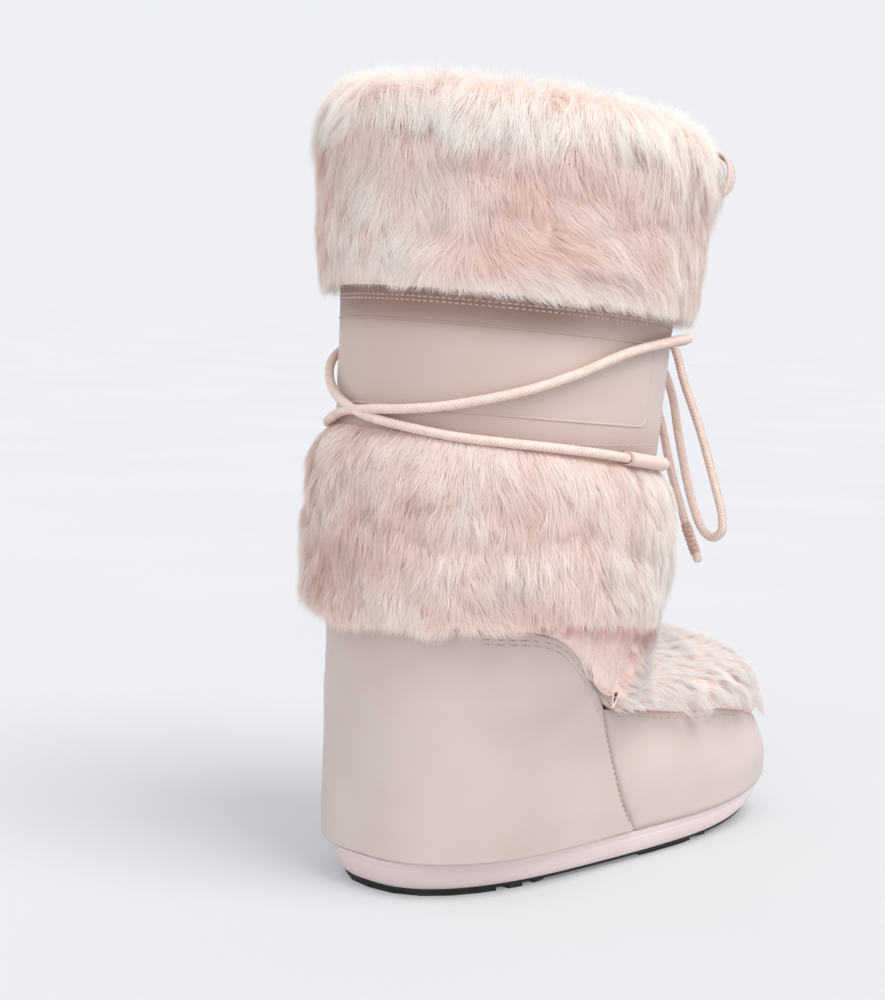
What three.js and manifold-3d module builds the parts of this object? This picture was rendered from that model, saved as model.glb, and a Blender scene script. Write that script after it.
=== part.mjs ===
// Apres ski boot: tall padded snow boot with fur bands and a smooth moulded shell.
// Millimetres. +X is the toe, +Y the wearer's left, +Z up. The ground is z = 0.
import * as THREE from 'three';
import { mergeVertices } from 'three/addons/utils/BufferGeometryUtils.js';
import Module from 'manifold-3d';

const wasm = await Module();
wasm.setup();

// ---- driving dimensions -------------------------------------------------
const SOLE_LENGTH = 299;        // toe to heel, over the sole band
const SOLE_CENTRE_X = 64;       // middle of the sole, ahead of the shaft axis
const HEEL_WIDTH = 121.8;       // sole band at the heel
const BALL_WIDTH = 117.4;       // sole band at the ball
const WAIST = 1.2;              // how far each side draws in at the arch
const OUTLINE_POWER = 2.6;      // roundness of the sole's ends
const TOE_SPRING = 8.3;         // rise of the sole at the toe tip
const SPRING_START = 0.3;       // share of the half length where the rise begins
const SPRING_FADE = 50;         // height over which the shell loses the rise
const SEAT_Z = 18.2;            // top of the sole band
const BAND_Z = 3.6;             // underside of the sole band
const PLATE_Z = 1.6;            // underside of the tread plate, above the lugs
const GAP = 0.35;               // clearance between pieces that touch
const SHELL = 2.2;              // thickness of the moulded heel and toe shells
const WALL_BEHIND_SHELL = 2.6;  // upper's outer face, in from the shell's outer face
const WALL_INNER = 7;           // upper's inner face, in from the shell's outer face
const INSOLE = 5;               // insole thickness
const LACE = 4.6;               // lace diameter
const RING_HALF = 23;           // points on half of a ring
const BLEND = 22;               // softness of the join of foot and leg
const FLARE = 0.03;             // how much wider the foot is at the toe than at the heel
const ORIGIN_X = 58.28;         // shaft axis to the middle of the boot's own box

// ---- the form, a row for each level ------------------------------------
// level: height on the shaft axis; back/front/half/n: the leg's oval;
// toe/ball/m: the foot's oval; tilt: forward slope of the level
const FORM = table(
  ['level', 'back', 'front', 'half', 'n', 'toe', 'ball', 'm', 'tilt'], [
    [18.6, -86.4, 58, 53.5, 2.35, 214.6, 61.2, 2.5, 0],
    [32, -86.4, 60, 55.5, 2.35, 214.4, 61.2, 2.5, 0],
    [46, -86.2, 63, 57.5, 2.3, 208.5, 60.2, 2.5, 0],
    [56, -86.2, 65, 59.5, 2.25, 203, 58.6, 2.5, 0],
    [66, -86.2, 67, 61.5, 2.2, 197.5, 57, 2.5, 0],
    [76, -86.2, 69, 64, 2.15, 190.5, 55, 2.45, 0],
    [84, -86.2, 70.5, 66, 2.15, 178, 51.5, 2.4, 0],
    [90, -86.1, 71.7, 67.5, 2.15, 163, 47.8, 2.35, 0],
    [95, -86, 72.6, 68.6, 2.15, 145, 43.5, 2.3, 0],
    [99, -85.8, 73.4, 69.5, 2.1, 125, 39, 2.25, 0],
    [105, -85.4, 74.2, 70.8, 2.1, 107, 35, 2.2, 0],
    [114, -84.8, 75.3, 72.6, 2.1, 95, 31, 2.1, 0],
    [126, -84, 76.6, 75, 2.05, 87, 27, 2, 0.005],
    [150, -83, 78.6, 76, 2, 70, 20, 2, 0.03],
    [180, -82.2, 81.4, 77.3, 2, 60, 10, 2, 0.06],
    [210, -81.8, 84.6, 78.6, 2, 50, 5, 2, 0.07],
    [245, -81.4, 88.6, 79.8, 2, 50, 5, 2, 0.075],
    [280, -80.8, 92.2, 81.2, 2, 50, 5, 2, 0.085],
    [330, -80.2, 97.4, 83.2, 2, 50, 5, 2, 0.115],
    [385, -79.4, 102.2, 85, 2, 50, 5, 2, 0.14],
  ]);

// depth of the fur over the form at each level
const FUR = table(['level', 'depth'], [
  [18, 3], [50, 5.5], [60, 8], [70, 10.5], [80, 12], [105, 12], [120, 12.5], [130, 14],
  [150, 15], [168, 15.5], [184, 14.5], [194, 11.5], [201, 6.5], [206, 0], [276, 0],
  [281, 6.5], [288, 10.5], [299, 12], [345, 12], [360, 11], [371, 8], [379, 3.5],
  [383, -1.5],
]);

const FUR_LEVELS = [40, 52, 62, 70, 78, 86, 93, 98, 102, 106, 110, 115, 121, 128, 137, 148,
  162, 177, 190, 198, 203, 207, 240, 275, 281, 288, 299, 322, 348, 361, 370, 378, 383];
const SHELL_LEVELS = [18.6, 26, 34, 43, 52, 61, 70, 79, 88, 97, 106, 116, 126, 138];
const INNER_LEVELS = [8, 20, 34, 48, 58, 67, 76, 83, 88, 92, 96, 102, 112, 126, 150,
  185, 225, 280, 330, 385, 410];

// top edge of the heel shell, seen from the side
const HEEL_TOPLINE = table(['x', 'z'], [
  [-120, 131], [-62, 131], [-40, 130], [-26, 126], [-12, 116], [0, 105], [10, 95], [18, 86],
]);
// seam between the heel shell and the toe shell, from the top edge down
const SIDE_SEAM = table(['x', 'z'], [
  [18, 86], [22, 77], [28, 65], [34.4, 50.6], [40.4, 36.2], [49.3, 21.8], [52, 17],
]);
// top edge of the toe shell, from the seam to the toe
const TOE_TOPLINE = table(['x', 'z'], [
  [18, 86], [38, 82.5], [58, 79.3], [82, 75.3], [110, 72], [135, 69.5], [150, 66.8],
  [165, 63.2], [180, 59], [200, 55], [240, 52],
]);

// the sole band's side, from the underside up: how far it lies inside the outline
const BAND_SIDE = table(['z', 'inset'], [
  [BAND_Z, 7], [5.1, 5.2], [8.5, 3.2], [13.5, 1.2], [SEAT_Z, 0.2],
]);
// the tread plate's edge along the foot, inside the sole band's outline
const PLATE_EDGE = table(['x', 'inset'], [
  [-90, 7.2], [-20, 7.4], [8, 13], [30, 17], [52, 14], [78, 8.4], [215, 8],
]);
// tread bars, a row each: x of the middle, sideways reach, width, sweep of the ends
const BARS = table(['x', 'reach', 'width', 'sweep'], [
  [-66, 26, 7, 6], [-11, 49, 8.5, -6], [-27, 49, 8, -5],
  [62, 44, 8, 7], [118, 49, 8, 8], [134, 47, 8, 8], [150, 43, 8, 9], [166, 37, 8, 10],
  [182, 28, 8, 11],
]);
// the two flat pads that the boot stands on
const PADS = table(['x', 'length', 'reach'], [
  [-46, 24, 46], [90, 40, 50],
]);

// the lace round the leg, seen from above: bearing from the toe (clockwise is
// negative) and height. It runs from the knot round the right side and the back.
const LACE_OVER = table(['bearing', 'z'], [
  [-9, 264], [-30, 266], [-50, 269], [-72, 267.5], [-95, 262.5], [-114, 252.5],
  [-128, 245.5], [-143, 239.6], [-157, 235.5], [-170, 233.3], [-184, 231.8], [-197, 229.5],
  [-210, 224.5], [-224, 221], [-240, 218.5], [-258, 215.5], [-280, 211], [-300, 207.5],
  [-330, 204], [-361, 202.6],
]);
const LACE_UNDER = table(['bearing', 'z'], [
  [1, 202.6], [-30, 204], [-60, 207.5], [-80, 211], [-102, 215.5], [-123, 218.8],
  [-138, 220.6], [-152, 222.4], [-170, 226], [-184, 229], [-192, 232], [-203, 236.5],
  [-214, 243], [-223, 248.5], [-235, 254], [-250, 259], [-265, 263.5], [-288, 267.5],
  [-310, 269], [-330, 266], [-351, 264],
]);
// the hanging loop and end of the bow on the right; the left ones are their mirror
const LOOP = table(['x', 'y', 'z'], [
  [103, -11.5, 265.5], [105.5, -20, 268], [106, -28, 264], [106, -37, 244],
  [106, -48.5, 220.5], [105.5, -60, 193], [105, -66, 177], [105, -66, 169.5],
  [105, -60.5, 165.5], [105, -54, 169], [105.5, -45.5, 184], [106.5, -35, 214],
  [107, -27.5, 240], [105.5, -19, 255], [102.5, -11.5, 260],
]);
const TAIL = table(['x', 'y', 'z'], [
  [103.5, -5, 255.5], [107.5, -9.5, 247], [110.5, -18, 226], [110, -27, 200],
  [108.5, -39, 173], [107.5, -50, 152.5],
]);
const KNOT_CENTRE = [100, 0, 263];
const KNOT_HALF = [5.4, 10.6, 6.6];

// lace keepers, one on each side: bearings of their ends and height of the lace there
const KEEPER = { from: -62, to: -88, steps: 4, wall: 1.3, room: 0.7 };

// pull loop on the collar: bearing, height, rise, reach, strap width and thickness
const PULL = { bearing: -46, z: 350, rise: 11, reach: 8.5, width: 13, thick: 1.8, stand: 0.8 };

// ---- helpers ------------------------------------------------------------
function table(columns, rows) {
  return rows.map((r) => Object.fromEntries(columns.map((c, i) => [c, r[i]])));
}
function at(rows, key, value, column) {
  let i = 1;
  while (i < rows.length - 1 && rows[i][key] < value) i++;
  const a = rows[i - 1], b = rows[i];
  const t = (value - a[key]) / (b[key] - a[key]);
  return a[column] + (b[column] - a[column]) * Math.min(Math.max(t, 0), 1);
}
function smooth(rows, key, value, column) {
  // monotone cubic through the rows, so that the levels join without corners
  let i = 1;
  while (i < rows.length - 1 && rows[i][key] < value) i++;
  const slope = (j) => (rows[j][column] - rows[j - 1][column]) / (rows[j][key] - rows[j - 1][key]);
  const tangent = (j) => {
    if (j === 0) return slope(1);
    if (j === rows.length - 1) return slope(j);
    const s0 = slope(j), s1 = slope(j + 1);
    return s0 * s1 <= 0 ? 0 : (2 * s0 * s1) / (s0 + s1);
  };
  const a = rows[i - 1], b = rows[i], h = b[key] - a[key];
  const t = Math.min(Math.max((value - a[key]) / h, 0), 1);
  const u = 1 - t;
  return a[column] * (1 + 2 * t) * u * u + tangent(i - 1) * h * t * u * u
    + b[column] * t * t * (3 - 2 * t) - tangent(i) * h * t * t * u;
}
const clamp = (v, a, b) => Math.min(Math.max(v, a), b);
function spring(x) {
  const u = (x - SOLE_CENTRE_X) / (SOLE_LENGTH / 2);
  return TOE_SPRING * (Math.max(u - SPRING_START, 0) / (1 - SPRING_START)) ** 2;
}

// the sole's half width at x, drawn in by an inset
function soleHalf(x, inset) {
  const half = SOLE_LENGTH / 2 - inset;
  const u = (x - SOLE_CENTRE_X) / half;
  if (Math.abs(u) >= 1) return 0;
  const t = clamp((u + 1) / 2, 0, 1);
  const width = (HEEL_WIDTH + (BALL_WIDTH - HEEL_WIDTH) * t) / 2 - inset
    - WAIST * Math.exp(-(((x - 22) / 42) ** 2));
  return width * (1 - Math.abs(u) ** OUTLINE_POWER) ** (1 / OUTLINE_POWER);
}

// a column of the form table pushed out by a distance along the side profile's normal
function pushed(column, sign, distance) {
  const rows = [];
  for (let level = 0; level <= 430; level += level < 130 ? 2 : 6) {
    const v = smooth(FORM, 'level', level, column);
    const d = (smooth(FORM, 'level', level + 1, column) - smooth(FORM, 'level', level - 1, column)) / 2;
    const slope = level < 19 || level > 384 ? 0 : d * sign;
    const k = distance(level) / Math.hypot(1, slope);
    rows.push({ level: level - slope * k, value: v + sign * k });
  }
  const kept = [rows[0]];
  for (const r of rows) if (r.level > kept[kept.length - 1].level + 0.2) kept.push(r);
  return (level) => at(kept, 'level', level, 'value');
}
function form(distance) {
  const d = typeof distance === 'number' ? () => distance : distance;
  const toe = pushed('toe', 1, d), ball = pushed('ball', 1, d);
  const back = pushed('back', -1, d), front = pushed('front', 1, d), half = pushed('half', 1, d);
  const oval = (x, a, b, w, n) => {
    const u = (x - (a + b) / 2) / ((b - a) / 2);
    return Math.abs(u) >= 1 ? -1 : w * (1 - Math.abs(u) ** n) ** (1 / n);
  };
  const shape = (level) => {
    const s = clamp(level, 18.6, 385);
    const r = { back: back(s), front: front(s), half: half(s), toe: toe(s), ball: Math.max(ball(s), 0),
      n: smooth(FORM, 'level', s, 'n'), m: smooth(FORM, 'level', s, 'm'), tilt: smooth(FORM, 'level', s, 'tilt') };
    r.end = Math.max(r.front, r.toe);
    return r;
  };
  const width = (r, x) => {
    const leg = oval(x, r.back, r.front, r.half, r.n);
    const foot = oval(x, r.back, r.toe, r.ball, r.m)
      * (1 + (FLARE * (2 * x - r.toe - r.back)) / (r.toe - r.back));
    const reach = Math.max(leg, foot);
    if (leg <= 0 || foot <= 0) return Math.max(reach, 0);
    const near = Math.max(BLEND - Math.abs(leg - foot), 0) / BLEND;
    const fade = Math.min(1, (2 * Math.min(leg, foot)) / BLEND);
    return reach + (near * near * BLEND * fade) / 4;
  };
  return { shape, width };
}

// one ring of a form: half of it from the heel to the toe, spaced evenly
function ring(f, level) {
  const r = f.shape(level);
  const fine = [];
  const STEPS = 360;
  for (let i = 0; i <= STEPS; i++) {
    const x = r.back + ((r.end - r.back) * (1 - Math.cos((Math.PI * i) / STEPS))) / 2;
    fine.push([x, i === 0 || i === STEPS ? 0 : f.width(r, x)]);
  }
  const along = [0];
  for (let i = 1; i <= STEPS; i++) {
    along.push(along[i - 1] + Math.hypot(fine[i][0] - fine[i - 1][0], fine[i][1] - fine[i - 1][1]));
  }
  const half = [];
  let k = 0;
  for (let j = 0; j <= RING_HALF; j++) {
    const goal = (along[STEPS] * j) / RING_HALF;
    while (k < STEPS - 1 && along[k + 1] < goal) k++;
    const t = clamp((goal - along[k]) / (along[k + 1] - along[k] || 1), 0, 1);
    half.push([fine[k][0] + (fine[k + 1][0] - fine[k][0]) * t, fine[k][1] + (fine[k + 1][1] - fine[k][1]) * t]);
  }
  half[0][1] = 0;
  half[RING_HALF][1] = 0;
  const fade = clamp(1 - (level - SEAT_Z) / SPRING_FADE, 0, 1);
  return half.map(([x, y]) => [x, y, level - r.tilt * x + spring(x) * fade]);
}

// a closed solid through half rings, each closed by its mirror, with flat strips as caps
function loft(rings) {
  const n = rings[0].length, count = 2 * n - 2;
  const position = [], index = [];
  for (const r of rings) {
    for (let j = 0; j < n; j++) position.push(r[j][0], r[j][1], r[j][2]);
    for (let j = n - 2; j > 0; j--) position.push(r[j][0], -r[j][1], r[j][2]);
  }
  const id = (k, j) => k * count + ((j + count) % count);
  for (let k = 0; k < rings.length - 1; k++) {
    for (let j = 0; j < count; j++) {
      index.push(id(k, j), id(k + 1, j), id(k, j + 1), id(k, j + 1), id(k + 1, j), id(k + 1, j + 1));
    }
  }
  const cap = (k, up) => {
    for (let j = 0; j < n - 1; j++) {
      const a = id(k, j), b = id(k, j + 1), c = id(k, -j), d = id(k, -(j + 1));
      const faces = [];
      if (j > 0) faces.push([a, c, b]);
      if (j < n - 2 || j === 0) faces.push(j === 0 ? [a, d, b] : [b, c, d]);
      for (const f of faces) if (new Set(f).size === 3) index.push(...(up ? f : [f[0], f[2], f[1]]));
    }
  };
  cap(0, false);
  cap(rings.length - 1, true);
  return solid(position, index);
}
function solid(position, index) {
  const m = new wasm.Manifold(new wasm.Mesh({
    numProp: 3, vertProperties: new Float32Array(position), triVerts: new Uint32Array(index),
  }));
  return m;
}
function fromGeometry(geometry) {
  geometry.deleteAttribute('normal');
  geometry.deleteAttribute('uv');
  const g = mergeVertices(geometry, 1e-4);
  return solid(g.attributes.position.array, g.index.array);
}
function toMesh(name, m, colour, roughness) {
  const out = m.getMesh();
  const g = new THREE.BufferGeometry();
  const count = out.numProp, flat = [];
  for (let i = 0; i < out.vertProperties.length; i += count) {
    flat.push(out.vertProperties[i], out.vertProperties[i + 1], out.vertProperties[i + 2]);
  }
  g.setAttribute('position', new THREE.Float32BufferAttribute(flat, 3));
  g.setIndex(Array.from(out.triVerts));
  g.computeVertexNormals();
  const mesh = new THREE.Mesh(g, new THREE.MeshStandardMaterial({ color: colour, roughness, metalness: 0 }));
  mesh.name = name;
  return mesh;
}
// a plate seen from the side (x, z), as wide as the whole boot
function sidePlate(points) {
  const shape = new THREE.Shape(points.map(([x, z]) => new THREE.Vector2(x, z)));
  const g = new THREE.ExtrudeGeometry(shape, { depth: 300, bevelEnabled: false, steps: 1 });
  g.translate(0, 0, -150);
  g.rotateX(Math.PI / 2);
  return fromGeometry(g);
}
// a plate seen from above (x, y) between two heights
function plan(points, low, high) {
  const shape = new THREE.Shape(points.map(([x, y]) => new THREE.Vector2(x, y)));
  const g = new THREE.ExtrudeGeometry(shape, { depth: high - low, bevelEnabled: false, steps: 1 });
  g.translate(0, 0, low);
  return fromGeometry(g);
}
// a round cord along points
function cord(points, diameter, sides, steps) {
  const curve = new THREE.CatmullRomCurve3(points.map((p) => new THREE.Vector3(...p)), false, 'centripetal');
  const section = new THREE.Shape();
  for (let i = 0; i < sides; i++) {
    const a = (2 * Math.PI * i) / sides;
    const p = [(diameter / 2) * Math.cos(a), (diameter / 2) * Math.sin(a)];
    if (i === 0) section.moveTo(...p); else section.lineTo(...p);
  }
  section.closePath();
  return fromGeometry(new THREE.ExtrudeGeometry(section, { steps, extrudePath: curve, bevelEnabled: false }));
}

// ---- the forms ----------------------------------------------------------
const furDepth = (level) => smooth(FUR, 'level', clamp(level, 18, 383), 'depth');
const outer = form(0);
const furred = form(furDepth);
const solidOf = (f, levels) => loft(levels.map((l) => ring(f, l)));

const shellOut = solidOf(outer, SHELL_LEVELS);
const shellIn = solidOf(form(-SHELL), SHELL_LEVELS.map((l, i) => (i === 0 ? 8 : i === SHELL_LEVELS.length - 1 ? 150 : l)));
const wallOut = solidOf(form(-WALL_BEHIND_SHELL), SHELL_LEVELS.map((l, i) => (i === 0 ? SEAT_Z + GAP : l)));
const wallIn = solidOf(form(-WALL_INNER), INNER_LEVELS);
const furSolid = solidOf(furred, FUR_LEVELS);

// ---- side cutters --------------------------------------------------------
const pairs = (rows) => rows.map((r) => [r.x, r.z]);
const heelRegion = sidePlate([
  ...pairs(HEEL_TOPLINE), ...pairs(SIDE_SEAM).slice(1).map(([x, z]) => [x - GAP / 2, z]),
  [52 - GAP / 2, 5], [-120, 5],
]);
const toeRegion = sidePlate([
  ...pairs(TOE_TOPLINE).map(([x, z], i) => [i === 0 ? x + GAP : x, z]), [240, 5], [52 + GAP / 2, 5],
  ...pairs(SIDE_SEAM).reverse().slice(0, -1).map(([x, z]) => [x + GAP / 2, z]),
]);
const openRegion = sidePlate([
  [-140, 131 + GAP],
  ...pairs(HEEL_TOPLINE).slice(1).map(([x, z]) => [x + GAP * 0.75, z + GAP]),
  ...pairs(TOE_TOPLINE).slice(1).map(([x, z]) => [x, z + GAP]),
  [260, 52], [260, 430], [-140, 430],
]);

// ---- upper, heel shell and toe shell --------------------------------------
const upper = wallOut.add(furSolid.intersect(openRegion)).subtract(wallIn);
const shellWall = shellOut.subtract(shellIn);
const heelShell = shellWall.intersect(heelRegion);
const toeShell = shellWall.intersect(toeRegion);

// ---- insole, sole band and tread ------------------------------------------
function soleRing(inset, z, lift = 1) {
  const back = SOLE_CENTRE_X - SOLE_LENGTH / 2, front = SOLE_CENTRE_X + SOLE_LENGTH / 2;
  const a = back + inset(back), b = front - inset(front);
  const fine = [];
  for (let i = 0; i <= 360; i++) {
    const x = a + ((b - a) * (1 - Math.cos((Math.PI * i) / 360))) / 2;
    const local = inset(x);
    const squeeze = (x - SOLE_CENTRE_X) / ((b - a) / 2) * (SOLE_LENGTH / 2 - local) + SOLE_CENTRE_X;
    fine.push([x, i === 0 || i === 360 ? 0 : soleHalf(squeeze, local)]);
  }
  const along = [0];
  for (let i = 1; i <= 360; i++) along.push(along[i - 1] + Math.hypot(fine[i][0] - fine[i - 1][0], fine[i][1] - fine[i - 1][1]));
  const half = [];
  let k = 0;
  for (let j = 0; j <= RING_HALF; j++) {
    const goal = (along[360] * j) / RING_HALF;
    while (k < 359 && along[k + 1] < goal) k++;
    const t = clamp((goal - along[k]) / (along[k + 1] - along[k] || 1), 0, 1);
    half.push([fine[k][0] + (fine[k + 1][0] - fine[k][0]) * t, fine[k][1] + (fine[k + 1][1] - fine[k][1]) * t]);
  }
  half[0][1] = 0;
  half[RING_HALF][1] = 0;
  return half.map(([x, y]) => [x, y, z + spring(x) * lift]);
}
const band = loft(BAND_SIDE.map((r) => soleRing(() => r.inset, r.z)));

const insole = solidOf(form(-WALL_INNER - 0.6), [SEAT_Z + GAP, SEAT_Z + GAP + INSOLE]);

const plateInset = (x) => smooth(PLATE_EDGE, 'x', x, 'inset');
const plate = loft([
  soleRing((x) => plateInset(x) + 0.6, PLATE_Z),
  soleRing(plateInset, PLATE_Z + 0.6),
  soleRing(plateInset, BAND_Z - GAP),
]);
const treadEdge = loft([soleRing((x) => plateInset(x) + 0.5, -12), soleRing((x) => plateInset(x) + 0.5, BAND_Z - GAP - 0.2)]);
function lug(points) {
  const xs = points.map((p) => p[0]);
  const lift = spring((Math.min(...xs) + Math.max(...xs)) / 2);
  return plan(points, lift, lift + PLATE_Z + 0.9);
}
const bars = BARS.map((b) => lug([
  [b.x - b.width / 2, 0], [b.x - b.width / 2 - b.sweep, -b.reach], [b.x + b.width / 2 - b.sweep, -b.reach],
  [b.x + b.width / 2, 0], [b.x + b.width / 2 - b.sweep, b.reach], [b.x - b.width / 2 - b.sweep, b.reach],
]));
const pads = PADS.map((p) => lug([
  [p.x - p.length / 2, -p.reach], [p.x + p.length / 2, -p.reach], [p.x + p.length / 2, p.reach], [p.x - p.length / 2, p.reach],
]));
// the raised rim round the heel
const rimOut = loft([soleRing((x) => plateInset(x) + 0.4, 0), soleRing((x) => plateInset(x) + 0.4, PLATE_Z + 0.9)]);
const rimIn = loft([soleRing((x) => plateInset(x) + 7, -5), soleRing((x) => plateInset(x) + 7, PLATE_Z + 5)]);
const rim = rimOut.subtract(rimIn).intersect(plan([[-100, -80], [-38, -80], [-38, 80], [-100, 80]], -2, 10));
let tread = plate;
for (const piece of [...bars, ...pads]) tread = tread.add(piece.intersect(treadEdge));
tread = tread.add(rim);

// ---- lace, keepers, bow and pull loop ---------------------------------------
// a point on the leg at a bearing and height, with its outward direction
function legPoint(bearing, z, off = 0) {
  const a = (bearing * Math.PI) / 180;
  let level = z, p = null;
  for (let i = 0; i < 5; i++) {
    const r = furred.shape(level);
    const ax = (r.front - r.back) / 2, cx = (r.front + r.back) / 2;
    const c = Math.cos(a), s = Math.sin(a);
    const k = 1 / (Math.abs(c / ax) ** r.n + Math.abs(s / r.half) ** r.n) ** (1 / r.n);
    p = { x: cx + k * c, y: k * s, tilt: r.tilt };
    level = z + r.tilt * p.x;
  }
  return [p.x + off * Math.cos(a), p.y + off * Math.sin(a), z];
}
// the lace's centre, clear of the leg over the lace's own height
function lacePoint(bearing, z) {
  let best = null, far = -1;
  for (const dz of [-4, -2, 0, 2, 4]) {
    const q = legPoint(bearing, z + dz);
    const d = Math.hypot(q[0], q[1]);
    if (d > far) { far = d; best = q; }
  }
  const a = (bearing * Math.PI) / 180, off = LACE / 2 + 1.2;
  return [best[0] + off * Math.cos(a), best[1] + off * Math.sin(a), z];
}
const laceRoute = (rows) => rows.map((r) => lacePoint(r.bearing, r.z));
const lace = cord(laceRoute(LACE_OVER), LACE, 8, 36).add(cord(laceRoute(LACE_UNDER), LACE, 8, 36));

function keeper(side) {
  // an arched strap over the lace, standing on the leg above and below it
  const inner = LACE / 2 + KEEPER.room, wide = inner + KEEPER.wall;
  const profile = [];
  const ARC = 4;
  const drop = LACE / 2 + 0.45;
  profile.push([-drop, wide]);
  for (let i = 0; i <= ARC; i++) { const t = Math.PI / 2 - (Math.PI * i) / ARC; profile.push([wide * Math.cos(t), wide * Math.sin(t)]); }
  profile.push([-drop, -wide], [-drop, -inner]);
  for (let i = ARC; i >= 0; i--) { const t = Math.PI / 2 - (Math.PI * i) / ARC; profile.push([inner * Math.cos(t), inner * Math.sin(t)]); }
  profile.push([-drop, inner]);
  const outline = profile.map(([u, w]) => new THREE.Vector2(u, w));
  if (THREE.ShapeUtils.area(outline) < 0) outline.reverse();
  const faces = THREE.ShapeUtils.triangulateShape(outline, []).map((f) => (
    THREE.ShapeUtils.area(f.map((i) => outline[i])) < 0 ? [f[0], f[2], f[1]] : f));
  const position = [], index = [], n = outline.length;
  for (let k = 0; k <= KEEPER.steps; k++) {
    const bearing = KEEPER.from + ((KEEPER.to - KEEPER.from) * k) / KEEPER.steps;
    const z = at([...LACE_UNDER].reverse(), 'bearing', bearing, 'z');
    const c = lacePoint(bearing, z);
    const a = (bearing * Math.PI) / 180;
    const reach = c[0] * Math.cos(a) + c[1] * Math.sin(a);
    for (const p of outline) {
      const leg = legPoint(bearing, z + p.y);
      const clear = leg[0] * Math.cos(a) + leg[1] * Math.sin(a) + 1.3 - reach;
      const u = Math.max(p.x, clear);
      position.push(c[0] + u * Math.cos(a), side * -(c[1] + u * Math.sin(a)), z + p.y);
    }
  }
  for (let k = 0; k < KEEPER.steps; k++) {
    for (let j = 0; j < n; j++) {
      const a = k * n + j, b = k * n + ((j + 1) % n), c = a + n, d = b + n;
      index.push(a, b, c, b, d, c);
    }
  }
  for (const f of faces) {
    index.push(f[0], f[2], f[1]);
    index.push(...f.map((v) => v + KEEPER.steps * n));
  }
  return position.length ? orient(position, index) : null;
}
function orient(position, index) {
  let volume = 0;
  const v = (i) => new THREE.Vector3().fromArray(position, 3 * i);
  for (let i = 0; i < index.length; i += 3) volume += v(index[i]).dot(v(index[i + 1]).cross(v(index[i + 2])));
  if (volume < 0) for (let i = 0; i < index.length; i += 3) [index[i + 1], index[i + 2]] = [index[i + 2], index[i + 1]];
  return solid(position, index);
}

function ellipsoid(centre, half) {
  const g = new THREE.SphereGeometry(1, 12, 8);
  g.scale(...half);
  g.translate(...centre);
  return fromGeometry(g);
}
const mirror = (p) => [p[0], -p[1], p[2]];
const xyz = (rows) => rows.map((r) => [r.x, r.y, r.z]);

function pullLoop() {
  const a = (PULL.bearing * Math.PI) / 180;
  const e = [Math.cos(a), Math.sin(a)], t = [-Math.sin(a), Math.cos(a)];
  const STEPS = 10, position = [], index = [];
  const half = PULL.width / 2;
  const feet = [-1, 1].map((s) => {
    const q = legPoint(PULL.bearing, PULL.z + s * PULL.rise);
    return q[0] * e[0] + q[1] * e[1];
  });
  for (let k = 0; k <= STEPS; k++) {
    const g = -Math.PI / 2 + (Math.PI * k) / STEPS;
    const base = feet[0] + ((feet[1] - feet[0]) * k) / STEPS + PULL.stand;
    for (const [r, s] of [[0, -1], [0, 1], [1, 1], [1, -1]]) {
      const out = base + (PULL.reach + r * PULL.thick) * Math.cos(g);
      const z = PULL.z + (PULL.rise + r * PULL.thick) * Math.sin(g);
      position.push(e[0] * out + t[0] * s * half, e[1] * out + t[1] * s * half, z);
    }
  }
  for (let k = 0; k < STEPS; k++) for (let j = 0; j < 4; j++) {
    const p = k * 4 + j, q = k * 4 + ((j + 1) % 4);
    index.push(p, q, p + 4, q, q + 4, p + 4);
  }
  const last = STEPS * 4;
  index.push(0, 2, 1, 0, 3, 2, last, last + 1, last + 2, last, last + 2, last + 3);
  return orient(position, index);
}

// ---- the boot -------------------------------------------------------------
const boot = new THREE.Group();
const FABRIC = 0xe4cfc9, SHELL_PINK = 0xddc9c2, FUR_PINK = 0xecd6d1, BAND_PINK = 0xe0cbc8;
const BLACK = 0x232225, LACE_PINK = 0xf0d6cc;
boot.add(
  toMesh('outsole', tread, BLACK, 0.75),
  toMesh('midsole', band, BAND_PINK, 0.6),
  toMesh('insole', insole, FABRIC, 0.9),
  toMesh('upper', upper, FUR_PINK, 0.95),
  toMesh('heel_shell', heelShell, SHELL_PINK, 0.55),
  toMesh('toe_shell', toeShell, SHELL_PINK, 0.55),
  toMesh('pull_loop', pullLoop(), FABRIC, 0.85),
  toMesh('keeper_right', keeper(1), FABRIC, 0.85),
  toMesh('keeper_left', keeper(-1), FABRIC, 0.85),
  toMesh('lace_wrap', lace, LACE_PINK, 0.8),
  toMesh('lace_knot', ellipsoid(KNOT_CENTRE, KNOT_HALF), LACE_PINK, 0.8),
  toMesh('lace_loop_right', cord(xyz(LOOP), LACE, 8, 22), LACE_PINK, 0.8),
  toMesh('lace_loop_left', cord(xyz(LOOP).map(mirror), LACE, 8, 22), LACE_PINK, 0.8),
  toMesh('lace_end_right', cord(xyz(TAIL), LACE, 8, 10), LACE_PINK, 0.8),
  toMesh('lace_end_left', cord(xyz(TAIL).map(mirror), LACE, 8, 10), LACE_PINK, 0.8),
);
boot.position.x = -ORIGIN_X;
boot.updateMatrixWorld(true);

export default boot;
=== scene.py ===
# Tall padded snow boot with fur bands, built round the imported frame.
# Lengths in the tables are millimetres from the shaft's axis; to_m() takes them to the frame, in metres.
import math

import bpy
import numpy as np
from mathutils import Matrix, Vector


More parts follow.
